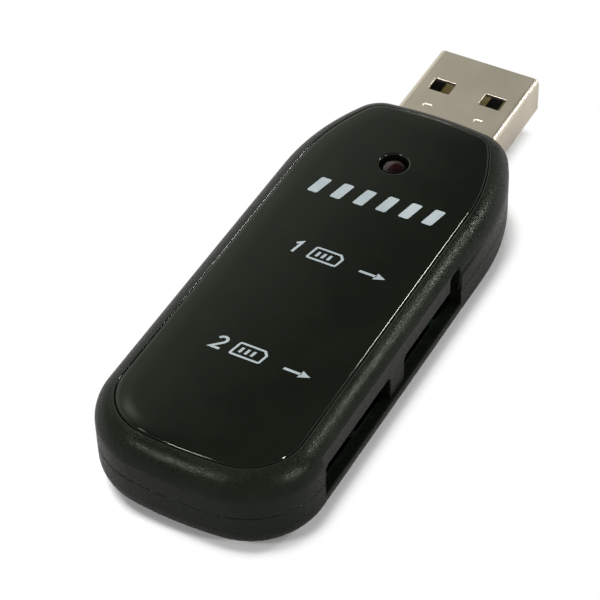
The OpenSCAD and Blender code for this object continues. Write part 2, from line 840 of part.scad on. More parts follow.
// Gull-wing leads on the four sides of the controller
module controller_leads() {
    mid = -stand_off - controller_h / 2;
    far = controller_lead.x;
    w = controller_lead.y;
    t = controller_lead.z;
    color([0.75, 0.75, 0.73])
    translate([0, controller_y, board_z])
    for (side = [0:3], k = [0:controller_n - 1])
        rotate(90 * side)
            translate([controller_w / 2, (k - (controller_n - 1) / 2) * controller_pitch, 0])
                along_y(-w / 2, w / 2)
                    polygon([[0, mid], [0.3, mid], [0.45, -t], [far, -t], [far, 0], [0.35, 0],
                        [0.2, mid + t], [0, mid + t]]);
}

// Ceramic base of the crystal
module crystal_base() {
    color([0.35, 0.33, 0.30])
    for (y = column_ys("crystal"))
        translate([column_x, y, board_top + crystal_h / 4])
            cube([crystal_size.x, crystal_size.y, crystal_h / 2], center = true);
}

// Metal lid of the crystal
module crystal_lid() {
    rim = 0.25;
    color([0.78, 0.76, 0.70])
    for (y = column_ys("crystal"))
        translate([column_x, y, board_top + crystal_h / 2])
            linear_extrude(crystal_h / 2)
                round_rect(crystal_size.x - 2 * rim, crystal_size.y - 2 * rim, 2 * rim);
}

// Black body of the voltage regulator
module regulator_body() {
    w = regulator_size.x / 2;
    draft = 0.1;
    color([0.10, 0.10, 0.11])
    for (y = column_ys("regulator"))
        along_y(y - regulator_size.y / 2, y + regulator_size.y / 2)
            translate([column_x, board_top])
                polygon([[-w, stand_off], [w, stand_off], [w - draft, regulator_h],
                    [draft - w, regulator_h]]);
}

// Leads of the voltage regulator: two on one side and one on the other
module regulator_leads() {
    x = regulator_size.x / 2 - 0.03;
    pitch = 1.9;
    color([0.75, 0.75, 0.73])
    for (y = column_ys("regulator"), c = [[1, -pitch / 2], [1, pitch / 2], [0, 0]])
        translate([column_x, y + c.y, board_top]) mirror([c.x, 0, 0])
            along_y(-lead_w / 2, lead_w / 2)
                polygon([[x, 0.5], [x + 0.25, 0.5], [x + 0.4, 0], [x + 0.7, 0], [x + 0.7, 0.12],
                    [x + 0.49, 0.12], [x + 0.34, 0.62], [x, 0.62]]);
}

// Bodies of the small parts of one kind, each between its two terminals
module chip_bodies(kind, h) {
    for (y = column_ys(kind))
        translate([column_x, y, board_top + h / 2])
            cube([chip_size.x - 2 * terminal_l, chip_size.y, h], center = true);
}

module chip_capacitors() {
    color([0.55, 0.42, 0.28]) chip_bodies("capacitor", capacitor_h);
}

module chip_resistors() {
    color([0.12, 0.12, 0.13]) chip_bodies("resistor", resistor_h);
}

// Tinned ends of the capacitors and resistors
module chip_terminals() {
    color([0.78, 0.78, 0.76])
    for (group = [["capacitor", capacitor_h], ["resistor", resistor_h]])
        for (y = column_ys(group[0]), s = [-1, 1])
            translate([column_x + s * (chip_size.x - terminal_l) / 2, y, board_top + group[1] / 2])
                cube([terminal_l, chip_size.y, group[1]], center = true);
}

upper_shell();
lower_shell();
top_panel();
plug_shell();
plug_tongue();
plug_contacts();
circuit_board();
front_socket_base();
front_socket_contacts();
front_socket_cover();
rear_socket_base();
rear_socket_contacts();
rear_socket_cover();
card_switches();
status_lamp();
lamp_leads();
controller_chip();
controller_leads();
crystal_base();
crystal_lid();
regulator_body();
regulator_leads();
chip_capacitors();
chip_resistors();
chip_terminals();
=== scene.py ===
"""Looks of a stick-shaped memory card reader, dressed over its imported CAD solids.

The two shells, the glossy panel, the plug, the lamp and the spring contacts are
modelled again with soft edges, and the other solids keep their meshes and get
finishes. Sizes are in millimetres until a mesh is made, which is in metres.
+Y points out of the plug, +X out of the card slots and +Z up.
"""

from __future__ import annotations

import json
import logging
import math
from dataclasses import dataclass
from enum import Enum
from typing import Sequence

import bmesh
import bpy
from mathutils import Matrix, Vector

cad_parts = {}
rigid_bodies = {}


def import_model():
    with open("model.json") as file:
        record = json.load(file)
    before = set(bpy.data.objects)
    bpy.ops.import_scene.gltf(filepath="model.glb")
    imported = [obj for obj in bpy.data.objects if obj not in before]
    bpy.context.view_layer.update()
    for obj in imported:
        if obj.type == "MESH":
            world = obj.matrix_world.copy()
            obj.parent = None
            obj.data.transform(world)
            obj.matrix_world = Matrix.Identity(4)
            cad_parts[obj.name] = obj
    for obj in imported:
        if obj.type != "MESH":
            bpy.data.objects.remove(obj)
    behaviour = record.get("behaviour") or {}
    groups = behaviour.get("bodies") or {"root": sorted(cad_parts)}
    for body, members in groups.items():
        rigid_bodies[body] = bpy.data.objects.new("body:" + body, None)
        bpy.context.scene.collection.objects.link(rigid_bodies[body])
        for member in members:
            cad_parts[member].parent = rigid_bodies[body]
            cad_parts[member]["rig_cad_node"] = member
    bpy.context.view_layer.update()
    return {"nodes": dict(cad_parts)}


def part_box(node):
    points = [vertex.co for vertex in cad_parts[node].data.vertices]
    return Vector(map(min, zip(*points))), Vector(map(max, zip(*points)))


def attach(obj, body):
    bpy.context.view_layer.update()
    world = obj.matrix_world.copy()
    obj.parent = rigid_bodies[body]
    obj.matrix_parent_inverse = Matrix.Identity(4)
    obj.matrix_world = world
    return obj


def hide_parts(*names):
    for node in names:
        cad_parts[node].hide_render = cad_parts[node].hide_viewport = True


log = logging.getLogger("card_reader")

MM = 0.001
MICROMETRE = 1e-6
BODY = "root"
# Distance that keeps two faces in one plane from meeting while solids are cut
CLEAR = 0.004
# How far a cutter goes past the face that it opens into
PAST = 1.0

Point2 = tuple[float, float]
Point3 = tuple[float, float, float]
Ring2 = list[Point2]
Faces = list[list[int]]
Colour = tuple[float, float, float]
Thing = bpy.types.Object
Socket = bpy.types.NodeSocket

WHITE: Colour = (1.0, 1.0, 1.0)


class Axis(Enum):
    """Direction in which a prism is drawn out."""

    X = 0
    Y = 1
    Z = 2


class Join(Enum):
    """Way in which one solid is worked into another."""

    ADD = "UNION"
    CUT = "DIFFERENCE"


@dataclass(frozen=True)
class Corner:
    """Corner of a profile, with the radius that softens it."""

    u: float
    v: float
    radius: float = 0.0

    def at(self) -> Vector:
        """Gives its place."""
        return Vector((self.u, self.v))


def arc(centre: Sequence[float], radius: float, start: float, end: float, steps: int) -> Ring2:
    """Lays points along an arc from one direction to another, with both its ends."""
    angles = [start + (end - start) * k / steps for k in range(steps + 1)]
    return [(centre[0] + radius * math.cos(a), centre[1] + radius * math.sin(a)) for a in angles]


def softened(corners: Sequence[Corner], steps: int = 4, closed: bool = False) -> Ring2:
    """Rounds the corners of a profile.

    Args:
        corners: The corners in order, each with its own radius.
        steps: Number of straight steps in each rounded corner.
        closed: Whether the last corner runs on to the first.

    Returns:
        The points of the rounded profile.
    """
    path: Ring2 = []
    last = len(corners) - 1
    for k, corner in enumerate(corners):
        if corner.radius <= 0 or (not closed and k in (0, last)):
            path.append((corner.u, corner.v))
            continue
        here = corner.at()
        back = (corners[k - 1].at() - here).normalized()
        ahead = (corners[(k + 1) % len(corners)].at() - here).normalized()
        half = back.angle(ahead) / 2
        reach = corner.radius / math.tan(half)
        centre = here + (back + ahead).normalized() * corner.radius / math.sin(half)
        first = here + back * reach - centre
        final = here + ahead * reach - centre
        start = heading(first)
        turn = math.atan2(first.x * final.y - first.y * final.x, first.dot(final))
        path += arc(centre, corner.radius, start, start + turn, steps)
    return path


def crossing(p: Vector, p_radius: float, q: Vector, q_radius: float) -> Vector:
    """Finds where two circles cross, to the left of the way from the first to the second.

    Args:
        p: Centre of the first circle.
        p_radius: Its radius.
        q: Centre of the second circle.
        q_radius: Its radius.

    Returns:
        The crossing.
    """
    along = q - p
    gap = along.length
    along = along / gap
    foot = (gap * gap + p_radius * p_radius - q_radius * q_radius) / (2 * gap)
    side = Vector((-along.y, along.x))
    return p + along * foot + side * math.sqrt(p_radius * p_radius - foot * foot)


def heading(v: Vector) -> float:
    """Gives the direction of a flat vector."""
    return math.atan2(v.y, v.x)


def round_rect(centre: Point2, width: float, height: float, radius: float, steps: int = 6) -> Ring2:
    """Lays out a rectangle with round corners.

    Args:
        centre: Its middle.
        width: Its width.
        height: Its height.
        radius: Radius of its corners.
        steps: Number of straight steps in each corner.

    Returns:
        The points of the rectangle.
    """
    u, v = centre
    corners = [
        Corner(u + x * width / 2, v + y * height / 2, radius)
        for x, y in ((1, 1), (-1, 1), (-1, -1), (1, -1))
    ]
    return softened(corners, steps, closed=True)


def solid(name: str, points: Sequence[Point3], faces: Sequence[Sequence[int]]) -> Thing:
    """Makes a closed solid.

    Args:
        name: Name of the object.
        points: Its points in millimetres.
        faces: Its faces, in either direction.

    Returns:
        The object at the origin, with its faces turned outwards.
    """
    mesh = bpy.data.meshes.new(name)
    mesh.from_pydata([Vector(p) * MM for p in points], [], faces)
    work = bmesh.new()
    work.from_mesh(mesh)
    bmesh.ops.recalc_face_normals(work, faces=work.faces)
    work.to_mesh(mesh)
    work.free()
    thing = bpy.data.objects.new(name, mesh)
    bpy.context.scene.collection.objects.link(thing)
    return thing


def loft(name: str, rings: Sequence[Sequence[Point3]], tube: bool = False) -> Thing:
    """Joins rings of equally many points into a solid.

    Args:
        name: Name of the object.
        rings: The rings in order.
        tube: Whether the last ring runs on to the first, in place of two ends.

    Returns:
        The solid.
    """
    count = len(rings[0])
    points = [p for ring in rings for p in ring]
    pairs = [(j, j + 1) for j in range(len(rings) - 1)]
    if tube:
        pairs.append((len(rings) - 1, 0))
    faces: Faces = []
    for low, high in pairs:
        for k in range(count):
            after = (k + 1) % count
            faces.append([low * count + k, low * count + after, high * count + after, high * count + k])
    if not tube:
        faces.append(list(range(count)))
        faces.append(list(range((len(rings) - 1) * count, len(rings) * count)))
    return solid(name, points, faces)


def placed(axis: Axis, along: float, ring: Ring2) -> list[Point3]:
    """Puts a flat ring across an axis, at one place along it."""
    return [(*p[: axis.value], along, *p[axis.value :]) for p in ring]


def prism(name: str, axis: Axis, stations: Sequence[tuple[float, Ring2]], tube: bool = False) -> Thing:
    """Draws a flat ring out along an axis, through one ring for each station."""
    return loft(name, [placed(axis, along, ring) for along, ring in stations], tube)


def block(name: str, low: Point3, high: Point3, soft: float = 0.02) -> Thing:
    """Makes a plain block with softened upright edges.

    Args:
        name: Name of the object.
        low: Its lowest corner.
        high: Its highest corner.
        soft: Radius of its upright edges.

    Returns:
        The block.
    """
    centre = ((low[0] + high[0]) / 2, (low[1] + high[1]) / 2)
    ring = round_rect(centre, high[0] - low[0], high[1] - low[1], soft, 2)
    return prism(name, Axis.Z, [(low[2], ring), (high[2], ring)])


def lathe(name: str, centre: Point2, profile: Ring2, count: int = 64) -> Thing:
    """Turns a profile of radius and height round an upright axis.

    Args:
        name: Name of the object.
        centre: Place of the axis.
        profile: Radius and height of each ring, from the lower pole to the upper one.
        count: Number of steps round the axis.

    Returns:
        The turned solid, with one point at each pole.
    """
    points: list[Point3] = [(*centre, profile[0][1])]
    for radius, z in profile[1:-1]:
        points += placed(Axis.Z, z, arc(centre, radius, 0.0, math.tau, count)[:-1])
    points.append((*centre, profile[-1][1]))
    top = len(points) - 1
    faces: Faces = []
    for k in range(count):
        after = (k + 1) % count
        faces.append([0, 1 + k, 1 + after])
        faces.append([top, top - count + k, top - count + after])
        for low in range(1, top - count, count):
            faces.append([low + k, low + after, low + count + after, low + count + k])
    return solid(name, points, faces)


def plate(name: str, points: Ring2, faces: Sequence[Sequence[int]], low: float, high: float) -> Thing:
    """Thickens flat faces into a thin plate.

    Args:
        name: Name of the object.
        points: The points of the flat faces.
        faces: The faces, all turned the same way.
        low: Height of its lower side.
        high: Height of its upper side.

    Returns:
        The plate.
    """
    count = len(points)
    raised = placed(Axis.Z, high, points) + placed(Axis.Z, low, points)
    edges = {(f[k], f[(k + 1) % len(f)]) for f in faces for k in range(len(f))}
    made = [list(f) for f in faces]
    made += [[k + count for k in reversed(f)] for f in faces]
    made += [[a, a + count, b + count, b] for a, b in sorted(edges) if (b, a) not in edges]
    return solid(name, raised, made)


def ribbon(path: Ring2, width: float, closed: bool = False) -> tuple[Ring2, Faces]:
    """Gives a line a width, with mitred corners.

    Args:
        path: The middle of the line.
        width: Its width.
        closed: Whether the line runs back to its start.

    Returns:
        The points and the faces of the flat shape.
    """
    sharpest_mitre = 0.4
    points: Ring2 = []
    count = len(path)
    for k in range(count):
        here = Vector(path[k])
        before = Vector(path[k - 1]) if closed or k else here * 2 - Vector(path[1])
        after = Vector(path[(k + 1) % count]) if closed or k < count - 1 else here * 2 - Vector(path[k - 1])
        first = (here - before).normalized()
        second = (after - here).normalized()
        along = (first + second).normalized()
        side = Vector((-along.y, along.x)) * width / 2 / max(along.dot(first), sharpest_mitre)
        points += [tuple(here + side), tuple(here - side)]
    faces = []
    for k in range(count if closed else count - 1):
        after = (k + 1) % count
        faces.append([2 * k, 2 * k + 1, 2 * after + 1, 2 * after])
    return points, faces


def baked(thing: Thing) -> Thing:
    """Turns a thing and its modifiers into a plain mesh.

    Args:
        thing: The thing.

    Returns:
        The same thing, with its new mesh and no modifiers.
    """
    graph = bpy.context.evaluated_depsgraph_get()
    mesh = bpy.data.meshes.new_from_object(thing.evaluated_get(graph))
    thing.modifiers.clear()
    thing.data = mesh
    return thing


def work_in(thing: Thing, join: Join, *others: Thing) -> Thing:
    """Adds or cuts what other solids cover, one after the other, and uses those solids up.

    Args:
        thing: The solid that is worked on.
        join: Whether the others are added or cut out.
        *others: The solids that are added or cut out.

    Returns:
        The solid that was worked on.
    """
    for other in others:
        tool = thing.modifiers.new(join.name, "BOOLEAN")
        tool.operation = join.value
        tool.solver = "EXACT"
        tool.object = other
        baked(thing)
        bpy.data.objects.remove(other)
    return thing


def smooth(thing: Thing, sharp_deg: float = 35.0) -> Thing:
    """Shades a thing smoothly between its sharp edges, led by its large faces.

    Args:
        thing: The thing.
        sharp_deg: Angle in degrees from which an edge stays sharp.

    Returns:
        The same thing.
    """
    thing.data.shade_smooth()
    thing.data.set_sharp_from_angle(angle=math.radians(sharp_deg))
    weights = thing.modifiers.new("even", "WEIGHTED_NORMAL")
    weights.keep_sharp = True
    weights.mode = "FACE_AREA_WITH_ANGLE"
    return baked(thing)


def box_mm(node: str) -> tuple[Vector, Vector]:
    """Gives the lowest and the highest corner of a CAD node, in millimetres."""
    low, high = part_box(node)
    return low / MM, high / MM


def closed_copy(node: str) -> Thing:
    """Copies a CAD node and joins its loose triangles.

    Args:
        node: Name of the node.

    Returns:
        The closed copy.
    """
    source = bpy.data.objects[node]
    copy = bpy.data.objects.new(node + "_copy", source.data.copy())
    bpy.context.scene.collection.objects.link(copy)
    work = bmesh.new()
    work.from_mesh(copy.data)
    bmesh.ops.remove_doubles(work, verts=work.verts, dist=1e-7)
    work.to_mesh(copy.data)
    work.free()
    return copy


def declare(tree: bpy.types.NodeTree, way: str, **sockets: str) -> None:
    """Gives a node group its inputs or outputs, by name and type."""
    for name, kind in sockets.items():
        tree.interface.new_socket(name, in_out=way, socket_type="NodeSocket" + kind)


class Nodes:
    """Small helper that fills one node tree."""

    def __init__(self, tree: bpy.types.NodeTree) -> None:
        """Starts on an emptied tree."""
        self.tree = tree
        tree.nodes.clear()

    def add(self, kind: str, settings: dict | None = None, **inputs: object) -> bpy.types.Node:
        """Adds a node.

        Args:
            kind: Its type.
            settings: Its own properties.
            **inputs: A value or an output for each input, by name with _ for a space, or by
                number as in_0.

        Returns:
            The node.
        """
        node = self.tree.nodes.new(kind)
        for key, value in (settings or {}).items():
            setattr(node, key, value)
        for key, value in inputs.items():
            socket = node.inputs[int(key[3:]) if key.startswith("in_") else key.replace("_", " ")]
            if isinstance(value, Socket):
                self.tree.links.new(value, socket)
            else:
                socket.default_value = value
        return node

    def math(self, operation: str, a: object, b: object = 0.0) -> Socket:
        """Adds a sum of two numbers and gives its result."""
        return self.add("ShaderNodeMath", {"operation": operation}, in_0=a, in_1=b).outputs[0]

    def vector(self, operation: str, a: Socket, b: Sequence[float] = (0.0, 0.0, 0.0)) -> bpy.types.Node:
        """Adds a sum of a vector and a fixed one."""
        return self.add("ShaderNodeVectorMath", {"operation": operation}, in_0=a, in_1=b)

    def ramp(self, value: Socket, span: Point2, low: float = 0.0, high: float = 1.0) -> Socket:
        """Adds a smooth step from one number to another.

        Args:
            value: The value that it follows.
            span: Where the step starts and ends.
            low: Its result up to the start.
            high: Its result from the end on.

        Returns:
            The result.
        """
        settings = {"interpolation_type": "SMOOTHSTEP"}
        numbers = {"From_Min": span[0], "From_Max": span[1], "To_Min": low, "To_Max": high}
        return self.add("ShaderNodeMapRange", settings, Value=value, **numbers).outputs["Result"]

    def blend(self, share: Socket, a: object, b: object) -> Socket:
        """Adds a mix of two colours and gives its result."""
        return self.add("ShaderNodeMix", {"data_type": "RGBA"}, in_0=share, in_6=a, in_7=b).outputs[2]


class Effect(Enum):
    """Surface effects that several finishes share."""

    GRAIN = "moulded_grain"
    STREAKS = "drawn_streaks"


def effect_group(effect: Effect) -> bpy.types.NodeTree:
    """Finds the node group of an effect, or builds it.

    Args:
        effect: The effect.

    Returns:
        A group with Vector, Size and Blotch inputs, which puts out Height, Fleck and Mottle.
    """
    found = bpy.data.node_groups.get(effect.value)
    if found:
        return found
    streak_stretch = (1.0, 0.06, 1.0)
    fleck_height = 0.5
    tree = bpy.data.node_groups.new(effect.value, "ShaderNodeTree")
    declare(tree, "INPUT", Vector="Vector", Size="Float", Blotch="Float")
    declare(tree, "OUTPUT", Height="Float", Fleck="Float", Mottle="Float")
    make = Nodes(tree)
    given = make.add("NodeGroupInput").outputs
    place = given["Vector"]
    if effect is Effect.STREAKS:
        place = make.add("ShaderNodeMapping", Vector=place, Scale=streak_stretch).outputs[0]
    fine = make.add("ShaderNodeTexNoise", Vector=place, Scale=given["Size"], Detail=2.0, Roughness=0.6)
    cells = make.add("ShaderNodeTexVoronoi", Vector=place, Scale=given["Size"]).outputs["Color"]
    fleck = make.add("ShaderNodeSeparateColor", Color=cells).outputs[0]
    height = fine.outputs["Fac"]
    if effect is Effect.GRAIN:
        height = make.math("ADD", height, make.math("MULTIPLY", fleck, fleck_height))
    broad = make.add(
        "ShaderNodeTexNoise", Vector=given["Vector"], Scale=given["Blotch"], Detail=3.0, Roughness=0.55
    )
    mottle = make.ramp(broad.outputs["Fac"], (0.3, 0.7))
    make.add("NodeGroupOutput", Height=height, Fleck=fleck, Mottle=mottle)
    return tree


def rgba(colour: Colour) -> tuple[float, float, float, float]:
    """Adds full cover to a colour."""
    return (*colour, 1.0)


@dataclass(frozen=True)
class Finish:
    """Surface finish of one kind of piece.

    The two colours are the darkest and the lightest that its mottling reaches, and so are the
    two roughnesses. Grain and blotch are in millimetres, and the relief is in micrometres. Fleck
    is how far the roughness varies from one grain to the next.
    """

    name: str
    dark: Colour
    light: Colour
    rough: Point2
    metal: float = 0.0
    effect: Effect = Effect.GRAIN
    grain: float = 0.2
    blotch: float = 6.0
    relief: float = 4.0
    fleck: float = 0.0
    clear: float = 0.0
    specular: float = 0.5
    tint: Colour = (1.0, 1.0, 1.0)

    def material(self) -> bpy.types.Material:
        """Finds this finish's material, or builds it.

        Returns:
            The material.
        """
        found = bpy.data.materials.get(self.name)
        if found:
            return found
        material = bpy.data.materials.new(self.name)
        material.use_nodes = True
        make = Nodes(material.node_tree)
        effect = make.add(
            "ShaderNodeGroup",
            {"node_tree": effect_group(self.effect)},
            Vector=make.add("ShaderNodeTexCoord").outputs["Object"],
            Size=1 / (self.grain * MM),
            Blotch=1 / (self.blotch * MM),
        ).outputs
        mottle = effect["Mottle"]
        bump = make.add("ShaderNodeBump", Height=effect["Height"], Strength=1.0)
        bump.inputs["Distance"].default_value = self.relief * MICROMETRE
        rough = make.ramp(mottle, (0.0, 1.0), *self.rough)
        if self.fleck:
            flecked = make.ramp(effect["Fleck"], (0.0, 1.0), -self.fleck, self.fleck)
            rough = make.math("ADD", rough, flecked)
        surface = make.add(
            "ShaderNodeBsdfPrincipled",
            Base_Color=make.blend(mottle, rgba(self.dark), rgba(self.light)),
            Roughness=rough,
            Metallic=self.metal,
            Normal=bump.outputs["Normal"],
            Transmission_Weight=self.clear,
            Specular_IOR_Level=self.specular,
            Specular_Tint=rgba(self.tint),
        )
        make.add("ShaderNodeOutputMaterial", Surface=surface.outputs[0])
        return material


class Finishes(Enum):
    """The finishes of this reader."""

    SHELL = Finish(
        "satin_black",
        (0.005, 0.006, 0.004),
        (0.0075, 0.009, 0.006),
        (0.24, 0.3),
        grain=0.14,
        relief=24.0,
        fleck=0.1,
        specular=0.16,
        tint=(0.88, 1.0, 0.78),
    )
    RIM = Finish("rim_black", (0.005, 0.006, 0.004), (0.0075, 0.009, 0.006), (0.1, 0.14), relief=0.5)
    PANEL = Finish(
        "gloss_black",
        (0.0034, 0.0039, 0.0026),
        (0.0044, 0.005, 0.0034),
        (0.05, 0.07),
        grain=1.6,
        relief=0.25,
        tint=(0.9, 1.0, 0.82),
    )
    PRINT = Finish(
        "print_pale", (0.22, 0.255, 0.27), (0.28, 0.315, 0.33), (0.5, 0.6), grain=0.12, relief=1.5
    )
    STEEL = Finish(
        "drawn_steel",
        (0.80, 0.715, 0.60),
        (0.87, 0.78, 0.655),
        (0.4, 0.48),
        metal=1.0,
        effect=Effect.STREAKS,
        grain=0.08,
        relief=0.4,
    )
    TONGUE = Finish(
        "tongue_black", (0.004, 0.004, 0.003), (0.007, 0.007, 0.006), (0.45, 0.55), grain=0.1, specular=0.1
    )
    # Gold darkened well below plated gold: its own colour plus painted shade, for contacts that lie in
    # shade inside the plug and the sockets
    SHADED_GOLD = Finish(
        "gold_plate",
        (0.23, 0.195, 0.095),
        (0.29, 0.245, 0.12),
        (0.25, 0.34),
        metal=1.0,
        effect=Effect.STREAKS,
        grain=0.06,
        relief=0.3,
    )
    COVER = Finish(
        "bright_sheet",
        (0.52, 0.52, 0.50),
        (0.62, 0.62, 0.60),
        (0.28, 0.38),
        metal=1.0,
        effect=Effect.STREAKS,
        grain=0.1,
        relief=0.4,
    )
    TIN = Finish(
        "tinned", (0.55, 0.55, 0.54), (0.68, 0.68, 0.66), (0.25, 0.4), metal=1.0, grain=0.15, relief=1.0
    )
    BOARD = Finish(
        "green_board", (0.01, 0.07, 0.03), (0.016, 0.11, 0.045), (0.3, 0.4), grain=0.3, relief=3.0
    )
    SOCKET = Finish("socket_black", (0.008, 0.008, 0.009), (0.014, 0.014, 0.014), (0.5, 0.6), grain=0.1)
    CHIP = Finish(
        "moulded_chip", (0.012, 0.012, 0.013), (0.02, 0.02, 0.021), (0.5, 0.62), grain=0.08, relief=3.0
    )
    CERAMIC = Finish("fired_brown", (0.09, 0.08, 0.065), (0.13, 0.12, 0.10), (0.55, 0.65), grain=0.08)
    LID = Finish(
        "plated_lid", (0.60, 0.57, 0.50), (0.68, 0.65, 0.58), (0.22, 0.3), 1.0, Effect.STREAKS, grain=0.05
    )
    TAN = Finish("fired_tan", (0.22, 0.14, 0.07), (0.30, 0.19, 0.10), (0.45, 0.55), grain=0.08)
    LENS = Finish(
        "lens_red",
        (0.085, 0.017, 0.014),
        (0.12, 0.023, 0.018),
        (0.02, 0.04),
        grain=2.0,
        relief=0.05,
        clear=1.0,
    )
    CUP = Finish("cup_red", (0.045, 0.014, 0.011), (0.09, 0.032, 0.026), (0.35, 0.5), grain=0.3, relief=2.0)


def dress(thing: Thing, finish: Finishes, slot: str | None = None, *stands_for: str) -> Thing:
    """Gives a piece its finish, hangs it on the body and hides the CAD nodes that it replaces.

    Args:
        thing: The piece.
        finish: Its finish.
        slot: The record's material slot; not used.
        *stands_for: The CAD nodes that it replaces.

    Returns:
        The piece.
    """
    if thing.data.materials:
        thing.data.materials.clear()
    thing.data.materials.append(finish.value.material())
    if "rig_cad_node" not in thing:
        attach(thing, BODY)
    if stands_for:
        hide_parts(*stands_for)
    log.info("%s: %d faces", thing.name, len(thing.data.polygons))
    return thing


@dataclass(frozen=True)
class CaseOutline:
    """Outline of the case seen from above: two bows, joined by corners, shoulders and sides."""

    width: float
    front_y: float
    rear_y: float
    shoulder_l: float = 14.2
    shoulder_r: float = 24.0
    front_bow_r: float = 45.0
    rear_bow_r: float = 40.0
    front_corner_r: float = 4.0
    rear_corner_r: float = 8.0
    panel_margin: float = 2.2
    panel_corner_r: float = 2.5
    edge_r: float = 3.0
    # Steps in the front bow, front corner, shoulder, rear corner and rear bow
    steps: tuple[int, ...] = (14, 16, 20, 24, 14)

    def half(self, inset: float, front_r: float, rear_r: float) -> Ring2:
        """Lays out the right half, from the middle of the front to the middle of the rear.

        Args:
            inset: How far the outline is drawn in.
            front_r: Radius of its front corner.
            rear_r: Radius of its rear corner.

        Returns:
            The points of the half outline.
        """
        front = Vector((0.0, self.front_y - self.front_bow_r))
        rear = Vector((0.0, self.rear_y + self.rear_bow_r))
        side = Vector((self.width / 2 - self.shoulder_r, self.front_y - self.shoulder_l))
        corner = crossing(
            side, self.shoulder_r - inset - front_r, front, self.front_bow_r - inset - front_r
        )
        tail_x = self.width / 2 - inset - rear_r
        drop = math.sqrt((self.rear_bow_r - inset - rear_r) ** 2 - tail_x * tail_x)
        heel = Vector((tail_x, rear.y - drop))
        a_front = heading(corner - front)
        a_side = heading(corner - side)
        a_rear = heading(heel - rear)
        steps = self.steps
        return (
            arc(front, self.front_bow_r - inset, math.pi / 2, a_front, steps[0])
            + arc(corner, front_r, a_front, a_side, steps[1])[1:]
            + arc(side, self.shoulder_r - inset, a_side, 0.0, steps[2])[1:]
            + arc(heel, rear_r, 0.0, a_rear, steps[3])
            + arc(rear, self.rear_bow_r - inset, a_rear, -math.pi / 2, steps[4])[1:]
        )

    def whole(self, half: Ring2) -> Ring2:
        """Mirrors a half outline into a whole one."""
        return half + [(-x, y) for x, y in half[-2:0:-1]]

    def case_ring(self, inset: float, recess: float = 0.0) -> Ring2:
        """Lays out the case.

        Args:
            inset: How far it is drawn in.
            recess: Inset of the panel's recess, near which the front corners turn into the recess's.

        Returns:
            The points of the outline.
        """
        front_r = self.front_corner_r - inset
        if recess:
            own = self.panel_corner_r + self.panel_margin - recess
            front_r += (own - self.front_corner_r + recess) * min(inset / recess, 1.0)
        return self.whole(self.half(inset, front_r, self.rear_corner_r - inset))

    def panel_ring(self, inset: float) -> Ring2:
        """Lays out the panel, drawn in by a margin."""
        rear_r = self.rear_corner_r - self.panel_margin - inset
        return self.whole(self.half(self.panel_margin + inset, self.panel_corner_r - inset, rear_r))

    def edge(self, inward: float, reach: float | None = None, steps: int = 20) -> Ring2:
        """Gives inset and depth of the soft edge, from the wall towards the flat.

        Args:
            inward: How far inside the outer face the edge lies.
            reach: The inset at which the edge stops.
            steps: Number of steps.

        Returns:
            Pairs of inset and depth below the flat.
        """
        radius = self.edge_r - inward
        turn = math.pi / 2 if reach is None else math.acos(1 - (reach - inward) / radius)
        return arc((self.edge_r, self.edge_r), radius, math.pi, math.pi + turn, steps)


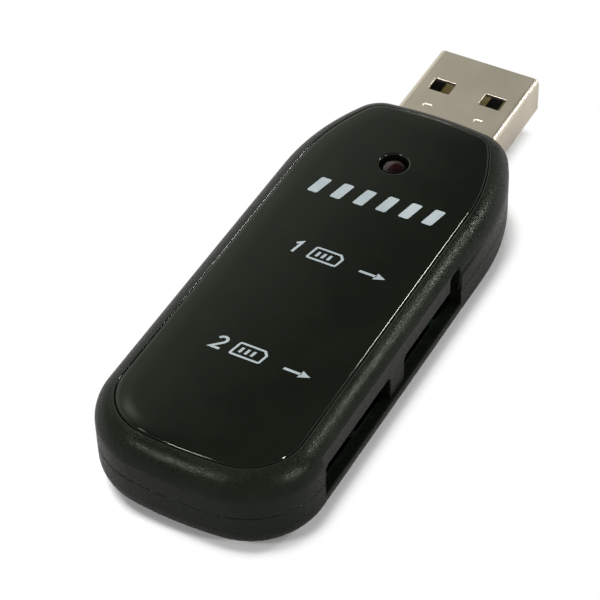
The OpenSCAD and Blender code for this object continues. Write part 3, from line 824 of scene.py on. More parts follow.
@dataclass(frozen=True)
class SlotSide:
    """Flat face with the two card slots in the right-hand side of the case."""

    y0: float = -26.4
    y1: float = 2.9
    face_x: float = 11.65
    case_x: float = 12.0
    mouth_x: float = 10.0
    above_z: float = 12.0
    sill_z: float = 3.2
    sill_break: float = 0.1
    sill_soft: float = 0.05
    slot_low: float = 1.2
    slot_top: float = 6.35
    notch_top: float = 8.2
    notch_w: float = 1.9
    post_w: float = 0.8
    # Room below the post: how far it goes past the post's sides, and its lower and upper side
    below_side: float = 0.5
    below_z: Point2 = (2.0, 5.0)
    rear_slot_w: float = 13.3
    front_slot_w: float = 11.8
    web_w: float = 3.0
    web_z: Point2 = (3.32, 5.8)
    web_x: Point2 = (10.25, 11.85)
    corner_r: float = 0.6
    lead_in: float = 0.08

    def slot(self, name: str, low_y: float, high_y: float, top: float) -> Thing:
        """Makes the solid that one slot takes out, flared where it meets the flat face.

        Args:
            name: Name of the solid.
            low_y: Where the slot starts.
            high_y: Where it ends.
            top: Height of its upper side.

        Returns:
            The solid.
        """
        centre = ((low_y + high_y) / 2, (self.slot_low + top) / 2)
        width, height, flare = high_y - low_y, top - self.slot_low, 2 * self.lead_in
        inner = round_rect(centre, width, height, self.corner_r, 8)
        flared = round_rect(centre, width + flare, height + flare, self.corner_r + self.lead_in, 8)
        places = (self.mouth_x, self.face_x - self.lead_in, self.face_x, self.case_x + PAST)
        return prism(name, Axis.X, list(zip(places, (inner, inner, flared, flared))))

    def cutters(self) -> list[Thing]:
        """Makes all that is cut out of the upper shell's side.

        Returns:
            The slots, the notch, the room below the post and what lies past the flat face.
        """
        far_x = self.case_x + PAST
        rear_y = self.y0 + self.post_w
        front_y = rear_y + self.rear_slot_w + self.web_w
        flat = block("flat", (self.face_x, self.y0, 0.0), (far_x, self.y1 + CLEAR, self.above_z))
        rear = self.slot("rear_slot", rear_y, rear_y + self.rear_slot_w, self.slot_top)
        front = self.slot("front_slot", front_y, front_y + self.front_slot_w, self.slot_top)
        notch = self.slot("notch", self.y1 - self.notch_w, self.y1 - CLEAR, self.notch_top)
        below = block(
            "below_post",
            (self.mouth_x, self.y0 - self.below_side, self.below_z[0]),
            (far_x, rear_y + self.below_side, self.below_z[1]),
        )
        return [rear, front, notch, below, flat]

    def web(self) -> Thing:
        """Makes a bar all along the slots, of which their cutters leave the web.

        Returns:
            The solid that is added to the upper shell before its slots are cut.
        """
        low = (self.web_x[0] + CLEAR, self.y0 + CLEAR, self.web_z[0] + CLEAR)
        high = (self.web_x[1], self.y1 - CLEAR, self.web_z[1] - CLEAR)
        return block("web", low, high)

    def sill_cutter(self) -> Thing:
        """Makes what the lower shell leaves open above its sill, with a broken outer edge.

        Returns:
            The solid that is cut out of the lower shell.
        """
        drop = self.sill_break
        stations = []
        for x, low in (
            (self.mouth_x, self.sill_z),
            (self.case_x - drop, self.sill_z),
            (self.case_x, self.sill_z - drop),
            (self.case_x + PAST, self.sill_z - drop),
        ):
            centre = ((self.y0 + self.y1) / 2, (low + self.above_z) / 2)
            ring = round_rect(centre, self.y1 - self.y0, self.above_z - low, self.sill_soft, 2)
            stations.append((x, ring))
        return prism("sill", Axis.X, stations)


@dataclass(frozen=True)
class PlugSize:
    """Sizes of the plug."""

    height: float
    middle_z: float
    rear_y: float
    front_y: float
    width: float = 12.0
    sheet: float = 0.3
    corner_r: float = 0.6
    lip_r: float = 0.11
    gap: float = 0.1
    window: Point2 = (2.5, 2.0)
    window_r: float = 0.15
    window_soft: float = 0.05
    window_x: float = 3.05
    window_back: float = 5.8
    mark: Point2 = (1.0, 0.6)
    mark_r: float = 0.12
    mark_back: float = 3.6
    # Height over the face and growth of each section of a pressed mark
    mark_steps: tuple[Point2, ...] = ((PAST, 0.04), (0.0, 0.04), (-0.03, 0.0), (-0.15, -0.1))
    seam_w: float = 0.06
    seam_neck: float = 0.9
    seam_head: float = 1.5
    seam_out: float = 1.1
    wing: Point2 = (1.5, 2.4)
    wing_from_rear: float = 2.16
    wing_z: float = 4.2
    wing_r: float = 0.15

    def section(self, inset: float) -> Ring2:
        """Lays out the plug's section, drawn in by a margin."""
        width, height = self.width - 2 * inset, self.height - 2 * inset
        return round_rect((0.0, self.middle_z), width, height, self.corner_r - inset, 10)

    def opening(self) -> Thing:
        """Makes what the case leaves open round the plug."""
        ring = self.section(-self.gap - CLEAR)
        return prism("plug_opening", Axis.Y, [(self.rear_y - PAST, ring), (self.front_y, ring)])


@dataclass(frozen=True)
class Pegs:
    """Pegs under the panel, and their holes in the roof."""

    radius: float = 0.6
    gap: float = 0.05
    x: float = 6.0
    ys: Point2 = (-28.4, 6.275)

    def upright(self, radius: float, low: float, high: float) -> list[Thing]:
        """Makes an upright round solid at each peg's place."""
        profile = [(0.0, low), (radius, low), (radius, high), (0.0, high)]
        return [lathe("peg", (x, y), profile, 32) for x in (-self.x, self.x) for y in self.ys]


@dataclass(frozen=True)
class Case:
    """What the two shells and the panel share."""

    outline: CaseOutline
    side: SlotSide
    plug: PlugSize
    pegs: Pegs
    split_z: float
    top_z: float


@dataclass(frozen=True)
class UpperShell:
    """Upper moulding, with the recess of the panel and the slots."""

    case: Case
    seam_in: float = 1.0
    seam_r: float = 0.12
    recess: float = 2.13
    recess_z: float = 9.1
    rim_r: float = 0.12
    # Last bands of faces, over the rim and down into the recess, which get the rim's finish
    rim_bands: int = 5
    # Inset and height of the room for the CAD solid's air, round its lip and under its roof
    room: tuple[Point2, ...] = ((0.35, 2.0), (0.35, 5.95), (1.2, 5.96), (1.2, 8.0 - CLEAR))
    hole_z: Point2 = (7.9, 9.5)

    def body(self) -> Thing:
        """Makes the full form of the shell, not yet hollow, with a smoother finish from its rim on.

        Returns:
            The solid.
        """
        outline = self.case.outline
        low = self.case.split_z + CLEAR
        corners = [Corner(self.seam_in, low), Corner(0.0, low, self.seam_r)]
        edge = [Corner(i, self.case.top_z - d) for i, d in outline.edge(0.0, self.recess)]
        rim = edge[-1]
        corners += edge[:-1] + [Corner(rim.u, rim.v, self.rim_r), Corner(self.recess, self.recess_z)]
        profile = softened(corners, 3)
        rings = [placed(Axis.Z, z, outline.case_ring(i, self.recess)) for i, z in profile]
        shell = loft("upper_shell_moulded", rings)
        first = (len(rings) - 1 - self.rim_bands) * len(rings[0])
        for face in shell.data.polygons[first:]:
            face.material_index = 1
        return shell

    def inside(self) -> Thing:
        """Makes the air inside the shell, from the CAD solid's own inner walls."""
        core = loft("upper_core", [placed(Axis.Z, z, self.case.outline.case_ring(i)) for i, z in self.room])
        return work_in(core, Join.CUT, closed_copy("upper_shell"))

    def build(self, lamp_hole: Thing) -> Thing:
        """Makes the shell and dresses it.

        Args:
            lamp_hole: The solid that the lamp's hole takes out.

        Returns:
            The shell.
        """
        shell = self.body()
        pegs = self.case.pegs
        peg_holes = pegs.upright(pegs.radius + pegs.gap + CLEAR, *self.hole_z)
        work_in(shell, Join.ADD, self.case.side.web())
        work_in(shell, Join.CUT, self.inside(), *self.case.side.cutters())
        work_in(shell, Join.CUT, self.case.plug.opening(), lamp_hole, *peg_holes)
        smooth(shell)
        dress(shell, Finishes.SHELL, "shell_black", "upper_shell")
        shell.data.materials.append(Finishes.RIM.value.material())
        return shell


@dataclass(frozen=True)
class LowerShell:
    """Lower moulding, a tray with a lip and the sill of the slots."""

    case: Case
    seam_r: float = 0.12
    lip_h: float = 0.8
    lip_in: float = 0.7
    lip_r: float = 0.1
    lip_back: float = 1.3
    wall: float = 1.05
    room_top: float = 7.0
    bead_r: float = 0.3
    bead_l: float = 3.0
    bead_steps: int = 12
    # Share of a bead's radius that is left at its ends
    bead_tip: float = 0.02
    # Side and place along the case of each bead
    beads: tuple[Point2, ...] = ((-1, -18.95), (-1, -3.4), (1, 5.8))

    def snap_bead(self, way: float, y: float) -> Thing:
        """Makes one bead that snaps the two shells together, with round ends.

        Args:
            way: The side that it is on, as 1 or -1.
            y: Its middle along the case.

        Returns:
            The bead.
        """
        x = way * (self.case.outline.width / 2 - self.lip_in - CLEAR)
        stations = []
        for k in range(self.bead_steps + 1):
            a = math.pi * (k / self.bead_steps - 0.5)
            radius = self.bead_r * max(math.cos(a), self.bead_tip)
            along = y + math.copysign(self.bead_l / 2 - self.bead_r, a) + self.bead_r * math.sin(a)
            ring = arc((x, self.case.split_z + self.lip_h / 2), radius, 0.0, math.tau, 24)[:-1]
            stations.append((along, ring))
        return prism("bead", Axis.Y, stations)

    def body(self) -> Thing:
        """Makes the full form of the tray, not yet hollow.

        Returns:
            The solid.
        """
        outline = self.case.outline
        split = self.case.split_z
        lip_z = split + self.lip_h - CLEAR
        corners = [Corner(i, d) for i, d in outline.edge(0.0)[::-1]]
        corners += [
            Corner(0.0, split, self.seam_r),
            Corner(self.lip_in, split),
            Corner(self.lip_in, lip_z, self.lip_r),
            Corner(self.lip_back, lip_z),
        ]
        rings = [placed(Axis.Z, z, outline.case_ring(i)) for i, z in softened(corners, 3)]
        return loft("lower_shell_moulded", rings)

    def inside(self) -> Thing:
        """Makes the air inside the tray, from the CAD solid's own inner walls.

        Returns:
            The solid that is cut out of the tray.
        """
        outline = self.case.outline
        steps = outline.edge(self.wall)[::-1] + [(self.wall, self.room_top)]
        core = loft("lower_core", [placed(Axis.Z, z, outline.case_ring(i)) for i, z in steps])
        return work_in(core, Join.CUT, closed_copy("lower_shell"))

    def build(self) -> Thing:
        """Makes the tray and dresses it.

        Returns:
            The tray.
        """
        shell = self.body()
        work_in(shell, Join.CUT, self.inside(), self.case.side.sill_cutter(), self.case.plug.opening())
        work_in(shell, Join.ADD, *(self.snap_bead(way, y) for way, y in self.beads))
        smooth(shell)
        return dress(shell, Finishes.SHELL, "shell_black", "lower_shell")


@dataclass(frozen=True)
class TopPanel:
    """Glossy panel in the recess of the upper shell."""

    case: Case
    low_z: float = 9.1
    print_room: float = 0.004
    rim_r: float = 0.25
    crown: float = 0.014
    crown_l: float = 1.8
    flat_l: float = 0.3
    peg_low: float = 8.0
    peg_in: float = 0.3
    steps: int = 8

    def face_z(self) -> float:
        """Gives the height of the panel's flat face."""
        return self.case.top_z - self.print_room

    def build(self, lamp_hole: Thing) -> Thing:
        """Makes the panel, with its rim, its faint crown and the lamp's hole, and dresses it.

        Args:
            lamp_hole: The solid that the lamp's hole takes out.

        Returns:
            The panel.
        """
        rim_z = self.face_z() - self.crown
        profile: Ring2 = [(0.0, self.low_z)]
        profile += arc((self.rim_r, rim_z - self.rim_r), self.rim_r, math.pi, math.pi / 2, self.steps)
        for k in range(1, self.steps + 1):
            share = k / self.steps
            rise = self.crown * (1 - (1 - share) ** 2)
            profile.append((self.rim_r + self.crown_l * share, rim_z + rise))
        profile.append((self.rim_r + self.crown_l + self.flat_l, self.face_z()))
        rings = [placed(Axis.Z, z, self.case.outline.panel_ring(i)) for i, z in profile]
        panel = loft("top_panel_gloss", rings)
        pegs = self.case.pegs
        work_in(panel, Join.CUT, lamp_hole)
        work_in(panel, Join.ADD, *pegs.upright(pegs.radius, self.peg_low, self.low_z + self.peg_in))
        smooth(panel)
        return dress(panel, Finishes.PANEL, "panel_gloss", "top_panel")


@dataclass(frozen=True)
class Lamp:
    """Red lamp in its hole in the panel: a clear lens, with a small cup for the light source."""

    centre: Point2
    foot_z: float
    top_z: float
    radius: float = 1.45
    flange_r: float = 1.9
    flange_h: float = 1.0
    flange_soft: float = 0.1
    gap: float = 0.1
    dome_r: float = 2.3
    sink: float = 0.2
    cup_r: float = 1.05
    cup_foot: float = 1.5
    cup_deep: float = 0.75
    cup_floor: float = 0.35
    cup_sink: float = 0.35

    def hole(self, top: float) -> Thing:
        """Makes the hole of the lamp, with a rounded rim.

        Args:
            top: Height of the face that the hole opens into.

        Returns:
            The solid that the hole takes out.
        """
        hole_r = self.radius + self.gap + CLEAR
        wide = hole_r + self.sink
        profile: Ring2 = [(0.0, self.foot_z), (hole_r, self.foot_z)]
        profile += arc((wide, top - self.sink), self.sink, math.pi, math.pi / 2, 8)
        profile += [(wide, top + PAST), (0.0, top + PAST)]
        return lathe("lamp_hole", self.centre, profile, 96)

    def lens(self) -> Thing:
        """Makes the clear lens with its low dome and its flange.

        Returns:
            The lens.
        """
        half = math.asin(self.radius / self.dome_r)
        dome_z = self.top_z - self.dome_r
        flange_z = self.foot_z + self.flange_h
        corners = [
            Corner(0.0, self.foot_z),
            Corner(self.flange_r, self.foot_z),
            Corner(self.flange_r, flange_z, self.flange_soft),
            Corner(self.radius, flange_z),
        ]
        dome = arc((0.0, dome_z), self.dome_r, math.pi / 2 - half, math.pi / 2, 12)
        return smooth(lathe("status_lamp_lens", self.centre, softened(corners, 3) + dome, 72))

    def cup(self) -> Thing:
        """Makes the small cup with the light source inside the lens.

        Returns:
            The cup.
        """
        top = self.top_z - self.cup_sink
        corners = [
            Corner(0.0, self.foot_z + self.cup_foot),
            Corner(0.5 * self.cup_r, self.foot_z + self.cup_foot, 0.05),
            Corner(0.8 * self.cup_r, top - self.cup_deep, 0.05),
            Corner(self.cup_r, top, 0.03),
            Corner(0.9 * self.cup_r, top, 0.03),
            Corner(0.55 * self.cup_r, top - self.cup_floor, 0.1),
            Corner(0.0, top - self.cup_floor),
        ]
        return smooth(lathe("lamp_cup", self.centre, softened(corners, 3), 48))

    def build(self) -> None:
        """Makes both pieces and dresses them."""
        dress(self.lens(), Finishes.LENS, "lamp_red", "status_lamp")
        dress(self.cup(), Finishes.CUP)


@dataclass(frozen=True)
class PlugShell:
    """Folded sheet-metal shell of the plug."""

    size: PlugSize

    def tube(self) -> Thing:
        """Makes the folded tube, with a rounded front edge.

        Returns:
            The tube.
        """
        plug = self.size
        corners = [
            Corner(0.0, plug.rear_y),
            Corner(0.0, plug.front_y, plug.lip_r),
            Corner(plug.sheet, plug.front_y, plug.lip_r),
            Corner(plug.sheet, plug.rear_y),
        ]
        stations = [(y, plug.section(i)) for i, y in softened(corners, 5)]
        return prism("plug_shell_steel", Axis.Y, stations, tube=True)

    def window(self, x: float) -> Thing:
        """Makes what one pair of latch windows takes out, with its broken edges.

        Args:
            x: Its middle across the plug.

        Returns:
            The solid that is cut out.
        """
        plug = self.size
        soft = plug.window_soft
        width, length = plug.window
        centre = (x, plug.front_y - plug.window_back)
        plain = round_rect(centre, width, length, plug.window_r, 5)
        wide = round_rect(centre, width + 2 * soft, length + 2 * soft, plug.window_r + soft, 5)
        low = plug.middle_z - plug.height / 2
        high = plug.middle_z + plug.height / 2
        places = (low - PAST, low, low + soft, high - soft, high, high + PAST)
        return prism("window", Axis.Z, list(zip(places, (wide, wide, plain, plain, wide, wide))))

    def mark(self, x: float, up: int) -> Thing:
        """Makes what one pressed mark takes out of the top or the underside.

        Args:
            x: Its middle across the plug.
            up: 1 for the top and -1 for the underside.

        Returns:
            The solid that is cut out.
        """
        plug = self.size
        face = plug.middle_z + up * plug.height / 2
        centre = (x, plug.front_y - plug.window_back - plug.mark_back)
        stations = []
        for rise, grow in plug.mark_steps:
            width, height = plug.mark[0] + 2 * grow, plug.mark[1] + 2 * grow
            stations.append((face + up * rise, round_rect(centre, width, height, plug.mark_r + grow, 4)))
        return prism("mark", Axis.Z, stations)

    def seam(self) -> Thing:
        """Makes the slit of the dovetail seam on the underside.

        Returns:
            The solid that is cut out.
        """
        plug = self.size
        y = plug.front_y - plug.window_back - plug.mark_back / 2
        path = [
            (0.0, plug.rear_y - PAST),
            (0.0, y - plug.seam_neck),
            (plug.seam_out, y - plug.seam_head),
            (plug.seam_out, y + plug.seam_head),
            (0.0, y + plug.seam_neck),
            (0.0, plug.front_y + PAST),
        ]
        low = plug.middle_z - plug.height / 2
        return plate("seam", *ribbon(path, plug.seam_w), low - PAST, low + plug.sheet + PAST)

    def wing(self, side: int) -> Thing:
        """Makes one wing that is soldered to the board.

        Args:
            side: The side that it is on, as 1 or -1.

        Returns:
            The wing.
        """
        plug = self.size
        y = plug.rear_y + plug.wing_from_rear
        ends = sorted((side * (plug.width / 2 - plug.sheet / 2), side * (plug.width / 2 + plug.wing[0])))
        low = (ends[0], y - plug.wing[1] / 2, plug.wing_z)
        high = (ends[1], y + plug.wing[1] / 2, plug.wing_z + plug.sheet)
        return block("wing", low, high, plug.wing_r)

    def build(self) -> Thing:
        """Makes the shell of the plug and dresses it.

        Returns:
            The shell.
        """
        shell = self.tube()
        work_in(shell, Join.ADD, self.wing(-1), self.wing(1))
        for x in (-self.size.window_x, self.size.window_x):
            work_in(shell, Join.CUT, self.window(x), self.mark(x, -1), self.mark(x, 1))
        work_in(shell, Join.CUT, self.seam())
        smooth(shell, 40)
        return dress(shell, Finishes.STEEL, "plug_steel", "plug_shell")


class RowOfCopies:
    """Geometry Nodes tree that repeats a shape in a straight row."""

    NAME = "row_of_copies"

    @classmethod
    def tree(cls) -> bpy.types.NodeTree:
        """Finds the tree, or builds it.

        Returns:
            A tree with Geometry, Count, First, Step and Finish inputs, which puts out Geometry.
        """
        found = bpy.data.node_groups.get(cls.NAME)
        if found:
            return found
        tree = bpy.data.node_groups.new(cls.NAME, "GeometryNodeTree")
        declare(tree, "INPUT", Geometry="Geometry", Count="Int", First="Vector", Step="Vector")
        declare(tree, "INPUT", Finish="Material")
        declare(tree, "OUTPUT", Geometry="Geometry")
        make = Nodes(tree)
        given = make.add("NodeGroupInput").outputs
        places = {"Count": given["Count"], "Start_Location": given["First"], "Offset": given["Step"]}
        line = make.add("GeometryNodeMeshLine", {"mode": "OFFSET"}, **places).outputs[0]
        shape = given["Geometry"]
        copies = make.add("GeometryNodeInstanceOnPoints", Points=line, Instance=shape).outputs[0]
        real = make.add("GeometryNodeRealizeInstances", Geometry=copies).outputs[0]
        dressed = make.add("GeometryNodeSetMaterial", Geometry=real, Material=given["Finish"]).outputs[0]
        make.add("NodeGroupOutput", Geometry=dressed)
        return tree

    @classmethod
    def spread(cls, thing: Thing, count: int, first: Point3, step: Point3, finish: Finishes) -> Thing:
        """Repeats a thing in a row.

        Args:
            thing: The shape, modelled about the origin.
            count: Number of copies.
            first: Place of the first copy.
            step: Way from one copy to the next.
            finish: The finish of the copies.

        Returns:
            The thing, which now is the whole row.
        """
        tree = cls.tree()
        row = thing.modifiers.new("row", "NODES")
        row.node_group = tree
        values = {
            "Count": count,
            "First": tuple(v * MM for v in first),
            "Step": tuple(v * MM for v in step),
            "Finish": finish.value.material(),
        }
        for item in tree.interface.items_tree:
            if item.in_out == "INPUT" and item.name in values:
                row[item.identifier] = values[item.name]
        return baked(thing)


@dataclass(frozen=True)
class SpringContacts:
    """Row of spring contacts of one card socket."""

    node: str
    count: int
    pitch: float = 1.05
    width: float = 0.4
    thick: float = 0.12
    foot_l: float = 1.2
    foot_r: float = 0.35
    crest_back: float = 1.1
    crest_r: float = 0.45
    crest_up: float = 0.02
    tip_drop: float = 0.42

    def build(self) -> Thing:
        """Makes the row, with smooth bends, in the CAD node's own room, and dresses it.

        Returns:
            The row.
        """
        low, high = box_mm(self.node)
        half = self.thick / 2
        corners = [
            Corner(low.x, low.z + half),
            Corner(low.x + self.foot_l, low.z + half, self.foot_r),
            Corner(high.x - self.crest_back, high.z - half + self.crest_up, self.crest_r),
            Corner(high.x, high.z - self.tip_drop),
        ]
        flat = ribbon(softened(corners, 6), self.thick)
        strip = plate(self.node + "_springs", *flat, -self.width / 2, self.width / 2)
        strip.data.transform(Matrix.Rotation(math.pi / 2, 4, "X"))
        first = (0.0, (low.y + high.y) / 2 - (self.count - 1) / 2 * self.pitch, 0.0)
        row = RowOfCopies.spread(strip, self.count, first, (0.0, self.pitch, 0.0), Finishes.SHADED_GOLD)
        smooth(row, 40)
        return dress(row, Finishes.SHADED_GOLD, "contact_gold", self.node)


@dataclass(frozen=True)
class PanelPrint:
    """Pale marks on the panel: a row of bars, and a number, a card and an arrow for each slot."""

    face_z: float
    proud: float = 0.003
    deep: float = 0.01
    lean: float = 0.22
    line_w: float = 0.3
    bar: Point2 = (1.15, 2.5)
    bar_r: float = 0.2
    bar_n: int = 6
    bar_first: Point2 = (-6.7, 4.6)
    bar_step: Point2 = (2.55, 0.16)
    one: tuple[Point2, ...] = ((0.05, 1.35), (0.5, 1.7), (0.5, 0.0))
    two_foot: tuple[Point2, ...] = ((0.05, 0.0), (1.05, 0.0))
    bowl_at: Point2 = (0.5, 1.22)
    bowl_r: float = 0.46
    bowl_deg: Point2 = (165.0, -38.0)
    card_from: float = 2.2
    card: Point2 = (3.2, 1.7)
    card_r: float = 0.15
    card_cut: float = 0.5
    card_line_w: float = 0.24
    pad_xs: tuple[float, ...] = (0.7, 1.35, 2.0)
    pad_ys: Point2 = (0.45, 1.2)
    arrow_from: Point2 = (7.9, 0.55)
    arrow_l: float = 1.9
    arrow_head: tuple[Point2, ...] = ((1.8, -0.5), (2.9, 0.0), (1.8, 0.5))

    def printed(self, name: str, shapes: Sequence[tuple[Point2, tuple[Ring2, Faces]]]) -> Thing:
        """Leans flat shapes to the right and joins them into one thin piece.

        Args:
            name: Name of the piece.
            shapes: The place of each shape, with its points and faces.

        Returns:
            The piece.
        """
        points: Ring2 = []
        faces: Faces = []
        for at, (shape, its_faces) in shapes:
            faces += [[k + len(points) for k in face] for face in its_faces]
            points += [(at[0] + x + self.lean * y, at[1] + y) for x, y in shape]
        return plate(name, points, faces, self.face_z - self.deep, self.face_z + self.proud)

    def bars(self) -> Thing:
        """Makes the row of leaning bars and dresses it.

        Returns:
            The row.
        """
        width, height = self.bar
        corners = [Corner(u, v, self.bar_r) for u, v in ((0, 0), (width, 0), (width, height), (0, height))]
        outline = softened(corners, 4, closed=True)
        bar = self.printed("print_bars", [((0.0, 0.0), (outline, [list(range(len(outline)))]))])
        first, step = (*self.bar_first, 0.0), (*self.bar_step, 0.0)
        return dress(RowOfCopies.spread(bar, self.bar_n, first, step, Finishes.PRINT), Finishes.PRINT)

    def digit(self, number: int) -> Ring2:
        """Lays out the middle line of a plain 1 or 2.

        Args:
            number: The number.

        Returns:
            The points of the line.
        """
        if number == 1:
            return list(self.one)
        start, end = (math.radians(v) for v in self.bowl_deg)
        return arc(self.bowl_at, self.bowl_r, start, end, 10) + list(self.two_foot)

    def card_outline(self) -> Ring2:
        """Lays out a plain card with one cut corner.

        Returns:
            The points of its outline.
        """
        width, height = self.card
        corners = [
            Corner(0.0, 0.0, self.card_r),
            Corner(width, 0.0, self.card_r),
            Corner(width, height - self.card_cut),
            Corner(width - self.card_cut, height),
            Corner(0.0, height, self.card_r),
        ]
        return softened(corners, 3, closed=True)

    def slot_mark(self, name: str, number: int, at: Point2) -> Thing:
        """Makes a number, a plain card and an arrow that points to a slot, and dresses them.

        Args:
            name: Name of the piece.
            number: The number.
            at: Where the number stands.

        Returns:
            The piece.
        """
        card_at = (at[0] + self.card_from, at[1])
        arrow_at = (at[0] + self.arrow_from[0], at[1] + self.arrow_from[1])
        shapes = [
            (at, ribbon(self.digit(number), self.line_w)),
            (card_at, ribbon(self.card_outline(), self.card_line_w, closed=True)),
        ]
        shapes += [(card_at, ribbon([(x, y) for y in self.pad_ys], self.line_w)) for x in self.pad_xs]
        shapes += [
            (arrow_at, ribbon([(0.0, 0.0), (self.arrow_l, 0.0)], self.line_w)),
            (arrow_at, (list(self.arrow_head), [[0, 1, 2]])),
        ]
        return dress(self.printed(name, shapes), Finishes.PRINT)

    def build(self) -> None:
        """Makes all the marks and dresses them."""
        self.bars()
        self.slot_mark("print_front_slot", 1, (-4.1, -4.3))
        self.slot_mark("print_rear_slot", 2, (-4.3, -19.6))


@dataclass(frozen=True)
class Electronics:
    """What the case holds, which keeps its CAD meshes."""

    # Finish, material slot and the nodes that have them
    finishes: tuple[tuple[Finishes, str, tuple[str, ...]], ...] = (
        (Finishes.TONGUE, "plug_plastic", ("plug_tongue",)),
        (Finishes.SHADED_GOLD, "contact_gold", ("plug_contacts", "card_switches")),
        (Finishes.BOARD, "board_green", ("circuit_board",)),
        (Finishes.SOCKET, "socket_plastic", ("front_socket_base", "rear_socket_base")),
        (Finishes.COVER, "cover_steel", ("front_socket_cover", "rear_socket_cover")),
        (Finishes.TIN, "lead_tin", ("lamp_leads", "controller_leads", "regulator_leads", "chip_terminals")),
        (Finishes.CHIP, "chip_black", ("controller_chip", "regulator_body")),
        (Finishes.CHIP, "resistor_black", ("chip_resistors",)),
        (Finishes.CERAMIC, "ceramic_brown", ("crystal_base",)),
        (Finishes.LID, "lid_metal", ("crystal_lid",)),
        (Finishes.TAN, "capacitor_tan", ("chip_capacitors",)),
    )

    def build(self, nodes: dict[str, Thing]) -> None:
        """Dresses each CAD node that is shown as it is.

        Args:
            nodes: The CAD nodes by name.
        """
        for finish, slot, names in self.finishes:
            for name in names:
                dress(nodes[name], finish, slot)


@dataclass(frozen=True)
class SoftLamp:
    """Flat round or oval lamp that faces the reader. Its azimuth is counted from +X towards +Y."""

    name: str
    azimuth: float
    elevation: float
    size: Point2
    power: float
    distance: float = 0.6
    mirrored: bool = True

    def build(self, target: Vector) -> None:
        """Hangs the lamp in its direction.

        Args:
            target: The place that it faces.
        """
        data = bpy.data.lights.new(self.name, "AREA")
        data.shape = "ELLIPSE"
        data.size, data.size_y = self.size
        data.energy = self.power
        lamp = bpy.data.objects.new(self.name, data)
        bpy.context.scene.collection.objects.link(lamp)
        a, e = math.radians(self.azimuth), math.radians(self.elevation)
        out = Vector((math.cos(a) * math.cos(e), math.sin(a) * math.cos(e), math.sin(e)))
        lamp.location = target + out * self.distance
        lamp.rotation_euler = out.to_track_quat("Z", "Y").to_euler()
        lamp.visible_camera = False
        lamp.visible_glossy = self.mirrored


@dataclass(frozen=True)
class Glow:
    """Soft light in the surroundings, towards one direction."""

    way: Point3
    # Cosines of the angles at which the light starts and is full
    fade: Point2
    strength: float = 1.0

    def seen(self, make: Nodes, place: Socket) -> Socket:
        """Gives its light in the direction that is looked at."""
        near = make.vector("DOT_PRODUCT", place, Vector(self.way).normalized()).outputs["Value"]
        return make.ramp(near, self.fade, high=self.strength)


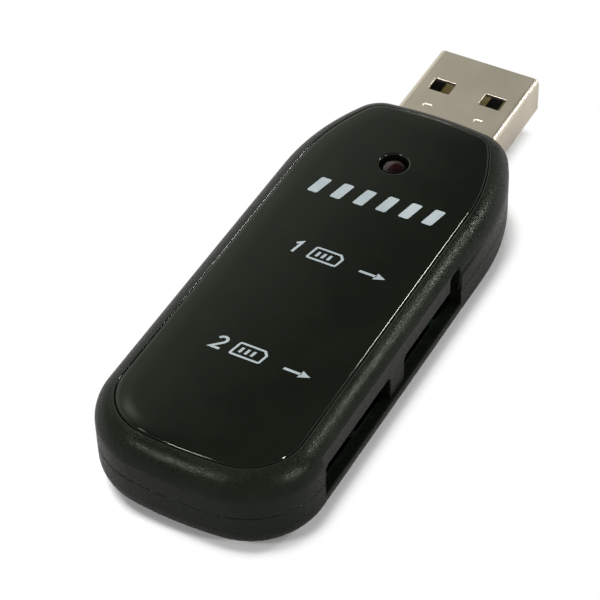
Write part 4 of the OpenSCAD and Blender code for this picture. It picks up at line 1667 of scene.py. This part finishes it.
@dataclass(frozen=True)
class Studio:
    """Pale floor, soft surroundings and lamps."""

    lamps: tuple[SoftLamp, ...] = (
        SoftLamp("right_lamp", 48, 31, (0.07, 0.07), 0.9),
        SoftLamp("left_lamp", -116, 40, (0.13, 0.045), 0.95),
        SoftLamp("high_lamp", -165, 60, (0.03, 0.03), 0.12),
        SoftLamp("side_lamp", -5, 26, (0.05, 0.05), 1.3),
        SoftLamp("overhead", 168, 74, (0.7, 0.7), 13.0, 1.0, False),
    )
    target: Point3 = (0.0, -2.0, 5.0)
    floor_half: float = 1.5
    # Middle, half size and corner radius of the case and of the plug, seen from above
    footprints: tuple[tuple[Point2, Point2, float], ...] = (
        ((0.0, -5.75), (12.1, 28.75), 8.0),
        ((0.0, 20.0), (5.0, 14.0), 0.6),
    )
    # Distances from the reader between which the paper turns into a plain white glow, which paints over the
    # cast shadow from there on
    shadow_mm: Point2 = (-0.8, 1.25)
    mirrored_mm: Point2 = (40.0, 90.0)
    paper: Colour = (0.34, 0.34, 0.34)
    paper_to_camera: Colour = (0.97, 0.97, 0.97)
    # Light of the dim room, from its lower to its upper part
    room_z: Point2 = (0.30, 0.66)
    room_light: Point2 = (0.42, 0.075)
    room_tint: Colour = (0.97, 1.0, 0.93)
    # The bright panel shines where its edge and its reach overlap
    panel_edge: Glow = Glow((-0.863, 0.072, -0.508), (-0.04, 0.12), 0.95)
    panel_reach: Glow = Glow((-0.621, 0.485, 0.616), (0.80, 0.92))
    spot: Glow = Glow((-0.4098, 0.5487, 0.7286), (0.99993, 0.999998), 1.6)

    def from_reader(self, make: Nodes, place: Socket) -> Socket:
        """Gives the distance from the reader's outline, seen from above.

        Args:
            make: The node tree.
            place: The place on the floor.

        Returns:
            The distance in metres, which is below zero inside the outline.
        """
        nearest = None
        for middle, half, radius in self.footprints:
            moved = make.vector("SUBTRACT", place, Vector((*middle, 0.0)) * MM).outputs[0]
            size = make.vector("ABSOLUTE", moved).outputs[0]
            inner = ((half[0] - radius) * MM, (half[1] - radius) * MM, 1.0)
            past = make.vector("SUBTRACT", size, inner).outputs[0]
            outside = make.vector("MAXIMUM", past).outputs[0]
            length = make.vector("LENGTH", outside).outputs["Value"]
            gap = make.math("SUBTRACT", length, radius * MM)
            nearest = make.math("MINIMUM", nearest, gap) if nearest else gap
        return nearest

    def floor(self) -> None:
        """Lays the floor, which shows the cast shadow near the reader and a plain white glow beyond,
        painted over the shadow from a set distance on.
        """
        half = self.floor_half
        mesh = bpy.data.meshes.new("floor")
        corners = [(-half, -half, 0), (half, -half, 0), (half, half, 0), (-half, half, 0)]
        mesh.from_pydata(corners, [], [[0, 1, 2, 3]])
        floor = bpy.data.objects.new("floor", mesh)
        bpy.context.scene.collection.objects.link(floor)
        material = bpy.data.materials.new("floor_paper")
        material.use_nodes = True
        make = Nodes(material.node_tree)
        far = self.from_reader(make, make.add("ShaderNodeTexCoord").outputs["Object"])
        ray = make.add("ShaderNodeLightPath").outputs
        camera = ray["Is Camera Ray"]
        clear = make.math("MAXIMUM", ray["Is Glossy Ray"], ray["Is Transmission Ray"])
        # The white glow fades in with the distance from the reader's outline, and so paints the outer edge
        # of the cast shadow
        past_shadow, past_mirrored = (
            make.ramp(far, (start * MM, end * MM)) for start, end in (self.shadow_mm, self.mirrored_mm)
        )
        share = make.math(
            "MAXIMUM",
            make.math("MULTIPLY", past_shadow, camera),
            make.math("MULTIPLY", past_mirrored, clear),
        )
        tone = make.blend(camera, rgba(self.paper), rgba(self.paper_to_camera))
        paper = make.add("ShaderNodeBsdfDiffuse", Color=tone).outputs[0]
        white = make.add("ShaderNodeEmission", Color=rgba(WHITE), Strength=1.0).outputs[0]
        both = make.add("ShaderNodeMixShader", Fac=share, in_1=paper, in_2=white).outputs[0]
        make.add("ShaderNodeOutputMaterial", Surface=both)
        mesh.materials.append(material)

    def surroundings(self) -> None:
        """Makes the dim room with its bright panel and its small spot, and white to the camera."""
        world = bpy.data.worlds.new("studio")
        world.use_nodes = True
        bpy.context.scene.world = world
        make = Nodes(world.node_tree)
        place = make.add("ShaderNodeTexCoord").outputs["Generated"]
        height = make.add("ShaderNodeSeparateXYZ", Vector=place).outputs["Z"]
        panel = make.math("MULTIPLY", self.panel_edge.seen(make, place), self.panel_reach.seen(make, place))
        strength = make.math("MAXIMUM", make.ramp(height, self.room_z, *self.room_light), panel)
        strength = make.math("MAXIMUM", strength, self.spot.seen(make, place))
        room = make.add("ShaderNodeBackground", Color=rgba(self.room_tint), Strength=strength).outputs[0]
        white = make.add("ShaderNodeBackground", Color=rgba(WHITE), Strength=1.0).outputs[0]
        camera = make.add("ShaderNodeLightPath").outputs["Is Camera Ray"]
        both = make.add("ShaderNodeMixShader", Fac=camera, in_1=room, in_2=white).outputs[0]
        make.add("ShaderNodeOutputWorld", Surface=both)

    def build(self) -> None:
        """Makes the floor, the surroundings and the lamps."""
        self.floor()
        self.surroundings()
        for lamp in self.lamps:
            lamp.build(Vector(self.target) * MM)


@dataclass(frozen=True)
class PhotoCamera:
    """Camera at the photograph's viewing angle. Its azimuth is counted from -Y towards +X."""

    azimuth: float = 29.898
    elevation: float = 44.225
    roll: float = -1.984
    distance: float = 254.271
    target: Point3 = (-2.170, -5.435, 4.75)
    lens: float = 149.98
    sensor: float = 36.0
    clip: Point2 = (0.01, 10.0)

    def build(self) -> None:
        """Sets the camera up."""
        data = bpy.data.cameras.new("camera")
        data.sensor_width = self.sensor
        data.lens = self.lens
        data.clip_start, data.clip_end = self.clip
        a, e, r = (math.radians(v) for v in (self.azimuth, self.elevation, self.roll))
        back = Vector((math.sin(a) * math.cos(e), -math.cos(a) * math.cos(e), math.sin(e)))
        right = Vector((math.cos(a), math.sin(a), 0.0))
        up = back.cross(right)
        turned = (right * math.cos(r) + up * math.sin(r), up * math.cos(r) - right * math.sin(r), back)
        camera = bpy.data.objects.new("camera", data)
        place = (Vector(self.target) + back * self.distance) * MM
        camera.matrix_world = Matrix.Translation(place) @ Matrix(turned).transposed().to_4x4()
        bpy.context.scene.collection.objects.link(camera)
        bpy.context.scene.camera = camera


def main() -> None:
    """Builds the reader round its CAD model, and the studio."""
    logging.basicConfig(level=logging.INFO, format="%(name)s: %(message)s")
    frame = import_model()
    bpy.context.scene.view_settings.view_transform = "Standard"

    case_low, case_high = box_mm("lower_shell")
    plug_low, plug_high = box_mm("plug_shell")
    lamp_low, lamp_high = box_mm("status_lamp")
    top_z = box_mm("top_panel")[1].z
    lamp_sunk = 0.1

    outline = CaseOutline(case_high.x - case_low.x, case_high.y, case_low.y)
    plug = PlugSize(plug_high.z - plug_low.z, (plug_high.z + plug_low.z) / 2, plug_low.y, plug_high.y)
    case = Case(outline, SlotSide(), plug, Pegs(), plug.middle_z, top_z)
    lamp_at = ((lamp_high.x + lamp_low.x) / 2, (lamp_high.y + lamp_low.y) / 2)
    lamp = Lamp(lamp_at, lamp_low.z, top_z - lamp_sunk)
    panel = TopPanel(case)

    UpperShell(case).build(lamp.hole(top_z))
    LowerShell(case).build()
    panel.build(lamp.hole(panel.face_z()))
    PanelPrint(panel.face_z()).build()
    lamp.build()
    PlugShell(plug).build()
    SpringContacts("front_socket_contacts", 8).build()
    SpringContacts("rear_socket_contacts", 11).build()
    Electronics().build(frame["nodes"])
    Studio().build()
    PhotoCamera().build()


if __name__ == "__main__":
    main()
